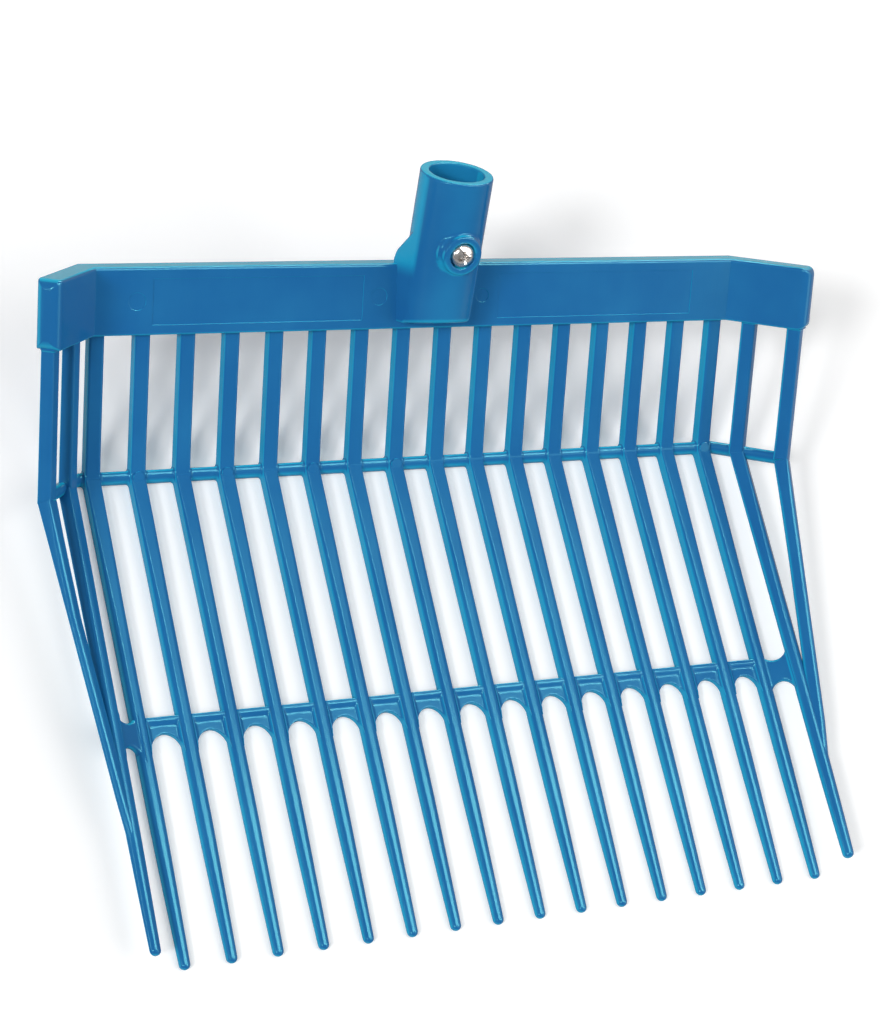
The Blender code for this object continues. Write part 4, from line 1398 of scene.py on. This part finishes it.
@dataclass
class HandleSocket:
    """The leaning tube with its gusset and both screw bosses."""

    sizes: HeadSizes
    sides: int = 96
    boss_sides: int = 72
    hole_sides: int = 64
    foot_turns: tuple[float, ...] = (0, 22.5, 45, 67.5, 90)
    length: float = 79.2 * MM
    foot: float = 3.2 * MM
    foot_slope: float = math.radians(9.0)
    foot_radius: float = 1.6 * MM
    mouth: tuple[Pair, ...] = ((0.0, 0.5 * MM), (0.15 * MM, 0.15 * MM), (0.5 * MM, 0.0))
    bore_radius: float = 13.05 * MM
    bore_floor: float = 8.0 * MM
    gusset_splay: float = math.radians(9.0)
    gusset_foot: float = 3.6 * MM
    gusset_back_y: float = 4.2 * MM
    gusset_back_z: float = 33.3 * MM
    gusset_nose: Pair = (1.6 * MM, 38.2 * MM)
    gusset_top: Pair = (-11.5 * MM, 49.0 * MM)
    gusset_radius: float = 1.2 * MM
    front_boss_radius: float = 9.7 * MM
    front_boss_root: float = 11.2 * MM
    front_boss_from: Pair = (10.0 * MM, 15.5 * MM)
    front_boss_reach: float = 19.8 * MM
    front_boss_edge: float = 0.9 * MM
    front_sink: float = 2.6 * MM
    front_sink_radius: float = 6.3 * MM
    rear_boss_radius: float = 8.5 * MM
    rear_boss_edge: float = 0.6 * MM
    voxel: float = 0.55 * MM
    soften: float = 0.5
    soften_rounds: int = 3
    past: float = 5.0 * MM

    def foot_ring(self, radius: float, lift: float) -> Ring:
        """Return a ring of the socket's foot, cut by a plane that rises towards the front.

        Args:
            radius: the ring's radius about the socket's axis.
            lift: how far it lies above the foot.

        Returns:
            The ring.
        """
        sizes = self.sizes
        slant = math.tan(self.foot_slope)
        sideways = Vector((0.0, math.cos(sizes.socket_lean), math.sin(sizes.socket_lean)))
        ring = []
        for step in range(self.sides):
            angle = math.tau * step / self.sides
            spot = sizes.socket_point(0.0) + (ACROSS * math.cos(angle) + sideways * math.sin(angle)) * radius
            level = self.foot + lift - slant * spot.y
            climb = (level - spot.z) / (sizes.socket_axis.z + slant * sizes.socket_axis.y)
            ring.append(spot + sizes.socket_axis * climb)
        return ring

    def add_tube(self, shape: Shape) -> None:
        """Add the tube's outer solid with its rounded foot and mouth.

        Args:
            shape: the shape that it goes into.
        """
        sizes = self.sizes
        rings = []
        for degrees in self.foot_turns:
            turn = math.radians(degrees)
            rings.append(self.foot_ring(sizes.socket_radius - self.foot_radius * (1 - math.sin(turn)),
                                        self.foot_radius * (1 - math.cos(turn))))
        origin = sizes.socket_point(0.0)
        wall = rings[-1]
        for inset, drop in self.mouth:
            hub = sizes.socket_point(self.length - drop)
            ring = []
            for point in wall:
                far = point + sizes.socket_axis * (self.length - drop - (point - origin).dot(sizes.socket_axis))
                ring.append(hub + (far - hub) * (1 - inset / sizes.socket_radius))
            rings.append(ring)
        shape.loft(rings)

    def add_gusset(self, shape: Shape) -> None:
        """Add the splayed block that ties the tube to the header.

        Args:
            shape: the shape that it goes into.
        """
        sizes = self.sizes
        lean = math.tan(sizes.socket_lean)
        tangent = sizes.socket_axis_y - sizes.socket_radius * math.sin(self.gusset_splay)
        top_z = self.gusset_top[1]
        profile = ((tangent - lean * self.gusset_foot, self.gusset_foot), (self.gusset_back_y, self.gusset_foot),
                   (self.gusset_back_y, self.gusset_back_z), self.gusset_nose, self.gusset_top,
                   (tangent - lean * top_z, top_z))
        rings = []
        for side in Side:
            ring = []
            for y, z in profile:
                behind = y - (sizes.socket_axis_y - lean * z)
                half = (sizes.socket_radius + behind * math.sin(self.gusset_splay)) / math.cos(self.gusset_splay)
                ring.append(Vector((side.value * half, y, z)))
            rings.append(ring)
        block = Shape()
        block.loft(rings)
        block.round_edges(self.gusset_radius, 4)
        data = block.to_mesh("gusset")
        shape.mesh.from_mesh(data)
        bpy.data.meshes.remove(data)

    def add_bosses(self, shape: Shape) -> None:
        """Add the flared front boss and the plain rear boss.

        Args:
            shape: the shape that they go into.
        """
        place = self.sizes.screw_frame()
        rim, root, reach = self.front_boss_radius, self.front_boss_root, self.front_boss_reach
        buried, start = self.front_boss_from
        edge = self.front_boss_edge
        profile = [(0.0, buried), (root, buried)]
        profile += [(mix(rim, root, (1 - share) ** 3), mix(start, reach - edge, share))
                    for share in (0.0, 0.25, 0.5, 0.75, 1.0)]
        profile += arc((rim - edge, reach - edge), edge, 20, 90, 4) + [(0.0, reach)]
        shape.turned(profile, self.boss_sides, place)
        rear, radius, edge = self.sizes.rear_boss, self.rear_boss_radius, self.rear_boss_edge
        shape.turned([(0.0, 0.0), (radius, 0.0), (radius, edge - rear), (radius - edge, -rear), (0.0, -rear)],
                     self.boss_sides, place)

    def build(self, material: Material) -> None:
        """Make the socket as one solid with soft moulded edges.

        Args:
            material: its material.
        """
        sizes = self.sizes
        shape = Shape()
        self.add_tube(shape)
        self.add_gusset(shape)
        self.add_bosses(shape)
        made = shape.to_object(SOCKET_NAME)
        bore = Shape()
        seat = Matrix.Translation(sizes.socket_point(0.0)) @ Matrix.Rotation(sizes.socket_lean, 4, "X")
        top = self.length + self.past
        bore.turned([(0.0, self.bore_floor), (self.bore_radius, self.bore_floor), (self.bore_radius, top),
                     (0.0, top)], self.sides, seat)
        cut(made, bore)
        hole = Shape()
        low = -sizes.rear_boss - self.past
        sink = self.front_boss_reach - self.front_sink
        high = self.front_boss_reach + self.past
        hole.turned([(0.0, low), (sizes.screw_hole, low), (sizes.screw_hole, sink), (self.front_sink_radius, sink),
                     (self.front_sink_radius, high), (0.0, high)], self.hole_sides, sizes.screw_frame())
        cut(made, hole)
        made.data.transform(sizes.lying())
        modify(made, "REMESH", mode="VOXEL", voxel_size=self.voxel)
        modify(made, "SMOOTH", factor=self.soften, iterations=self.soften_rounds)
        baked(made)
        made.data.shade_smooth()
        dress(made, material, Slot.MOULDING, "head", "handle_socket")


@dataclass
class Fastening:
    """The pan-head screw, washer and lock nut that clamp the handle."""

    sizes: HeadSizes
    sides: int = 72
    hole_sides: int = 64
    cross_sides: int = 24
    seat: float = 17.5 * MM
    radius: float = 3.0 * MM
    length: float = 45.0 * MM
    pitch: float = 1.0 * MM
    thread_sides: int = 36
    thread_rows: int = 8
    thread_depth: float = 0.35 * MM
    thread_stop: float = 3.0 * MM
    neck: float = 2.6 * MM
    point_length: float = 1.2 * MM
    point_slim: float = 0.5 * MM
    point_start: float = 0.2 * MM
    head_radius: float = 6.0 * MM
    head_height: float = 4.6 * MM
    head_edge: float = 0.15 * MM
    brim: float = 0.5 * MM
    cross_turn: float = math.radians(20)
    cross: tuple[Triple, ...] = ((-3.0 * MM, 1.2 * MM, 0.45 * MM), (-0.8 * MM, 3.2 * MM, 0.80 * MM),
                                 (1.0 * MM, 4.1 * MM, 0.95 * MM))
    cross_cone: tuple[Pair, ...] = ((0.0, -3.1 * MM), (1.0 * MM, -2.4 * MM), (1.7 * MM, -0.5 * MM),
                                    (2.1 * MM, 1.0 * MM), (0.0, 1.0 * MM))
    gap: float = 0.3 * MM
    washer_radius: float = 6.0 * MM
    washer_thickness: float = 1.6 * MM
    washer_edge: float = 0.3 * MM
    hole_edge: float = 0.1 * MM
    across_flats: float = 10.0 * MM
    nut_height: float = 6.0 * MM
    hex_height: float = 4.4 * MM
    nut_front_chamfer: float = 0.45 * MM
    nut_rear_chamfer: float = 0.7 * MM
    nut_front_inset: float = 0.1 * MM
    nut_rear_inset: float = 0.3 * MM
    mouth_width: float = 0.5 * MM
    mouth_depth: float = 0.4 * MM
    past: float = 1.0 * MM
    collar_radius: float = 4.75 * MM
    collar_edge: float = 0.6 * MM
    collar_buried: float = 2.0 * MM
    insert_radius: float = 4.2 * MM
    insert_height: float = 1.3 * MM
    insert_edge: float = 0.2 * MM
    insert_room: float = 0.15 * MM

    @property
    def place(self) -> Matrix:
        """Return the screw's frame on the floor."""
        return self.sizes.lying() @ self.sizes.screw_frame()

    @property
    def nut_face(self) -> float:
        """Return the height of the nut's face towards the washer."""
        return -(self.sizes.rear_boss + self.gap + self.washer_thickness + self.gap)

    def screw_rings(self) -> list[Ring]:
        """Draw the screw from its tip to the top of its head.

        Returns:
            Its rings.
        """
        tip = self.seat - self.length
        rings = []
        count = int(self.length / self.pitch * self.thread_rows)
        for row in range(count + 1):
            height = mix(tip + self.point_start, self.seat - self.thread_stop, row / count)
            slim = (1 - min((height - tip) / self.point_length, 1.0)) * self.point_slim
            ring = []
            for point in circle(1.0, height, self.thread_sides):
                phase = (height / self.pitch - len(ring) / self.thread_sides) % 1.0
                radius = (self.radius - self.thread_depth * abs(2 * phase - 1)) - slim
                ring.append(Vector((radius * point.x, radius * point.y, height)))
            rings.append(ring)
        profile = [(self.radius, self.seat - self.neck), (self.radius, self.seat),
                   (self.head_radius - self.head_edge, self.seat), (self.head_radius, self.seat + self.head_edge)]
        for degrees in (*range(0, 81, 8), 87):
            turn = math.radians(degrees)
            profile.append((self.head_radius * math.cos(turn),
                            mix(self.seat + self.brim, self.seat + self.head_height, math.sin(turn))))
        return rings + [circle(radius, height, self.thread_sides) for radius, height in profile]

    def screw(self, material: Material) -> None:
        """Make the screw with its thread and cross recess.

        Args:
            material: its material.
        """
        shape = Shape()
        shape.loft(self.screw_rings())
        made = shape.to_object("machine_screw")
        top = self.seat + self.head_height
        tool = Shape()
        for quarter in range(2):
            turn = Matrix.Rotation(math.pi / 2 * quarter + self.cross_turn, 3, "Z")
            tool.loft([[turn @ Vector((x, y, top + height)) for x, y in
                        ((-half, -slim), (half, -slim), (half, slim), (-half, slim))]
                       for height, half, slim in self.cross])
        tool.turned([(radius, top + height) for radius, height in self.cross_cone], self.cross_sides)
        cut(made, tool)
        made.data.transform(self.place)
        dress(shade(made), material, Slot.STEEL, "screw", "fixing_screw")

    def washer(self, material: Material) -> None:
        """Make the flat washer with its rolled edges.

        Args:
            material: its material.
        """
        shape = Shape()
        face = -(self.sizes.rear_boss + self.gap)
        back = face - self.washer_thickness
        rim, edge, hole, fine = self.washer_radius, self.washer_edge, self.sizes.screw_hole, self.hole_edge
        shape.turned(arc((rim - edge, face - edge), edge, 90, 0, 4) + arc((rim - edge, back + edge), edge, 0, -90, 4)
                     + [(hole + fine, back), (hole, back + fine), (hole, face - fine), (hole + fine, face)],
                     self.sides, self.place)
        dress(shape.to_object("washer"), material, Slot.STEEL, "nut", "flat_washer")

    def nut(self, material: Material) -> None:
        """Make the hexagon nut with chamfered corners and a crimped collar.

        Args:
            material: its material.
        """
        face = self.nut_face
        rear, low = face - self.nut_height, face - self.hex_height
        flat = self.across_flats / 2
        corner = flat / math.cos(math.pi / 6)
        rim = corner + self.nut_front_inset
        shape = Shape()
        shape.block(circle(corner, face, 6), -self.hex_height)
        made = shape.to_object("lock_nut_body")
        dome = Shape()
        dome.turned([(0.0, face), (flat - self.nut_front_inset, face), (rim, face - self.nut_front_chamfer),
                     (rim, low + self.nut_rear_chamfer), (flat - self.nut_rear_inset, low), (0.0, low)], self.sides)
        cut(made, dome, "INTERSECT")
        collar = Shape()
        edge, start = self.collar_edge, face - self.collar_buried
        collar.turned([(0.0, start), (self.collar_radius, start)]
                      + arc((self.collar_radius - edge, rear + edge), edge, 0, -90, 5) + [(0.0, rear)], self.sides)
        cut(made, collar, "UNION")
        bore = Shape()
        hole, room = self.sizes.screw_hole, self.insert_radius + self.insert_room
        step = rear + self.insert_height + self.gap
        bore.turned([(0.0, face + 2 * self.past), (hole + self.mouth_width, face + self.nut_front_inset),
                     (hole, face - self.mouth_depth), (hole, step), (room, step), (room, rear - self.past),
                     (0.0, rear - self.past)], self.hole_sides)
        cut(made, bore)
        made.data.transform(self.place)
        dress(shade(made), material, Slot.STEEL, "nut", "lock_nut")

    def insert(self, material: Material) -> None:
        """Make the nylon ring with softened edges.

        Args:
            material: its material.
        """
        edge = self.insert_edge
        outer, inner = self.insert_radius - edge, self.sizes.screw_hole + edge
        low = self.nut_face - self.nut_height + edge
        high = low + self.insert_height - 2 * edge
        shape = Shape()
        shape.turned(arc((outer, high), edge, 90, 0, 3) + arc((outer, low), edge, 0, -90, 3)
                     + arc((inner, low), edge, 270, 180, 3) + arc((inner, high), edge, 180, 90, 3),
                     self.hole_sides, self.place)
        dress(shape.to_object("nylon_ring"), material, Slot.NYLON, "nut", "nut_insert")

    def build(self, steel: Material, nylon: Material) -> None:
        """Make the screw, washer, nut and ring.

        Args:
            steel: the material of the first three.
            nylon: the ring's material.
        """
        self.screw(steel)
        self.washer(steel)
        self.nut(steel)
        self.insert(nylon)


@dataclass(frozen=True)
class Strip:
    """One strip light for the gloss: where it stands, how it lies and how bright it looks."""

    name: str
    way: Triple
    along: Triple
    length: float
    width: float
    glow: float


@dataclass(frozen=True)
class Sun:
    """One distant light: the way that it shines, its strength and how broad it looks."""

    name: str
    way: Triple
    level: float
    angle: float


@dataclass
class Studio:
    """The pale floor, the soft light and the camera."""

    sizes: HeadSizes
    floor_half: float = 3.0
    floor_drop: float = 0.1 * MM
    floor_lift: float = 0.16
    floor_tone: float = 0.50
    floor_white: float = 0.95
    world_level: float = 0.35
    suns: tuple[Sun, ...] = (
        Sun("key", (0.570, 0.215, -0.793), 0.58, math.radians(10)),
        Sun("side", (0.74, 0.24, -0.60), 1.36, math.radians(12)),
        Sun("fill", (-0.75, 0.25, -0.61), 1.15, math.radians(50)))
    lamp_distance: float = 1.5
    strips: tuple[Strip, ...] = (
        Strip("crest strip", (0.27, 0.03, 0.96), (1.0, 0.0, 0.0), 0.95, 0.42, 13.0),
        Strip("run strip", (0.281, 0.267, 0.922), (1.0, 0.0, 0.0), 0.95, 0.28, 1.9),
        Strip("corner strip", (-0.08, 0.30, 0.95), (0.0, 1.0, 0.0), 0.35, 0.14, 22.0),
        Strip("knee strip", (0.45, -0.20, 0.87), (1.0, 0.0, 0.0), 1.0, 0.11, 26.0),
        Strip("left strip", (-0.90, -0.03, 0.36), (0.0, 1.0, 0.0), 0.5, 0.08, 14.0),
        Strip("back strip", (0.44, 0.75, 0.50), (1.0, 0.0, 0.0), 1.4, 0.40, 14.0))
    camera_spot: Triple = (-0.529518, -1.062622, 0.225346)
    camera_aim: Triple = (0.4408, 0.8587, -0.2615)
    camera_roll: float = math.radians(3.9447)
    focal: float = 88.23
    shift: Pair = (0.0025967, 0.0109902)
    sensor: float = 36.0
    clip: Pair = (0.05, 20.0)

    def floor(self) -> None:
        """Make the pale floor, which is whiter to the camera than to the light."""
        half = self.floor_half
        data = bpy.data.meshes.new("floor")
        data.from_pydata([(x * half, y * half, -self.floor_drop) for x, y in ((-1, -1), (1, -1), (1, 1), (-1, 1))],
                         [], [(0, 1, 2, 3)])
        material = bpy.data.materials.new("pale floor")
        material.use_nodes = True
        graph = NodeGraph(material.node_tree)
        seen = graph.node("ShaderNodeLightPath").number("Is Camera Ray")
        tone = seen * (self.floor_white - self.floor_tone) + self.floor_tone
        matt = graph.node("ShaderNodeBsdfDiffuse", {}, {"Color": tone})
        lift = graph.node("ShaderNodeEmission", {}, {"Strength": seen * self.floor_lift})
        graph.surface(graph.node("ShaderNodeAddShader", {}, {0: matt.out(), 1: lift.out()}))
        data.materials.append(material)
        link("floor", data)

    def world(self) -> None:
        """Make the even light of the room, white where the camera sees it."""
        world = bpy.data.worlds.new("studio")
        bpy.context.scene.world = world
        world.use_nodes = True
        graph = NodeGraph(world.node_tree)
        seen = graph.node("ShaderNodeLightPath").number("Is Camera Ray")
        level = seen * (1.0 - self.world_level) + self.world_level
        graph.surface(graph.node("ShaderNodeBackground", {}, {"Color": (1.0, 1.0, 1.0, 1.0), "Strength": level}),
                      "World")

    def lamp(self, strip: Strip) -> None:
        """Add a strip light that faces the head and shows only in the gloss.

        Args:
            strip: the light's place, size and glow.
        """
        light = bpy.data.lights.new(strip.name, "AREA")
        light.shape = "RECTANGLE"
        light.size, light.size_y = strip.length, strip.width
        light.energy = strip.glow * math.pi * strip.length * strip.width
        made = link(strip.name, light)
        made.visible_diffuse = False
        back = Vector(strip.way).normalized()
        length = Vector(strip.along)
        length = (length - back * length.dot(back)).normalized()
        turn = Matrix((length, back.cross(length), back)).transposed().to_4x4()
        made.matrix_world = Matrix.Translation(back * self.lamp_distance) @ turn

    def sun(self, sun: Sun) -> None:
        """Add a broad distant light that throws a soft shadow.

        Args:
            sun: the light's way, strength and breadth.
        """
        light = bpy.data.lights.new(sun.name, "SUN")
        light.energy = sun.level
        light.angle = sun.angle
        made = link(sun.name, light)
        made.rotation_mode = "QUATERNION"
        made.rotation_quaternion = Vector(sun.way).to_track_quat("-Z", "Y")

    def camera(self) -> None:
        """Set the camera at the photograph's viewing angle."""
        aim = Vector(self.camera_aim).normalized()
        level = aim.cross(UP).normalized()
        above = level.cross(aim).normalized()
        right = level * math.cos(self.camera_roll) + above * math.sin(self.camera_roll)
        top = above * math.cos(self.camera_roll) - level * math.sin(self.camera_roll)
        pose = Matrix((right, top, -aim)).transposed().to_4x4()
        pose.translation = Vector(self.camera_spot)
        lens = bpy.data.cameras.new("camera")
        lens.sensor_fit = "AUTO"
        lens.sensor_width = self.sensor
        lens.lens = self.focal
        lens.shift_x, lens.shift_y = self.shift
        lens.clip_start, lens.clip_end = self.clip
        made = link("camera", lens)
        made.matrix_world = self.sizes.lying() @ pose
        bpy.context.scene.camera = made

    def build(self) -> None:
        """Set up the studio."""
        bpy.context.scene.view_settings.view_transform = "Standard"
        self.floor()
        self.world()
        for sun in self.suns:
            self.sun(sun)
        for strip in self.strips:
            self.lamp(strip)
        self.camera()


def main() -> None:
    """Dress the frame, light it and place the camera."""
    logging.basicConfig(level=logging.INFO)
    sizes = HeadSizes()
    plastic = MouldedPlastic().build()
    steel = PolishedSteel().build()
    nylon = Nylon().build()
    basket = TineBasket(sizes)
    basket.build(plastic)
    for side in Side:
        Wing(sizes, basket, side).build(plastic)
    FoldedHeader(sizes).build(plastic)
    HandleSocket(sizes).build(plastic)
    Fastening(sizes).build(steel, nylon)
    Studio(sizes).build()


if __name__ == "__main__":
    main()
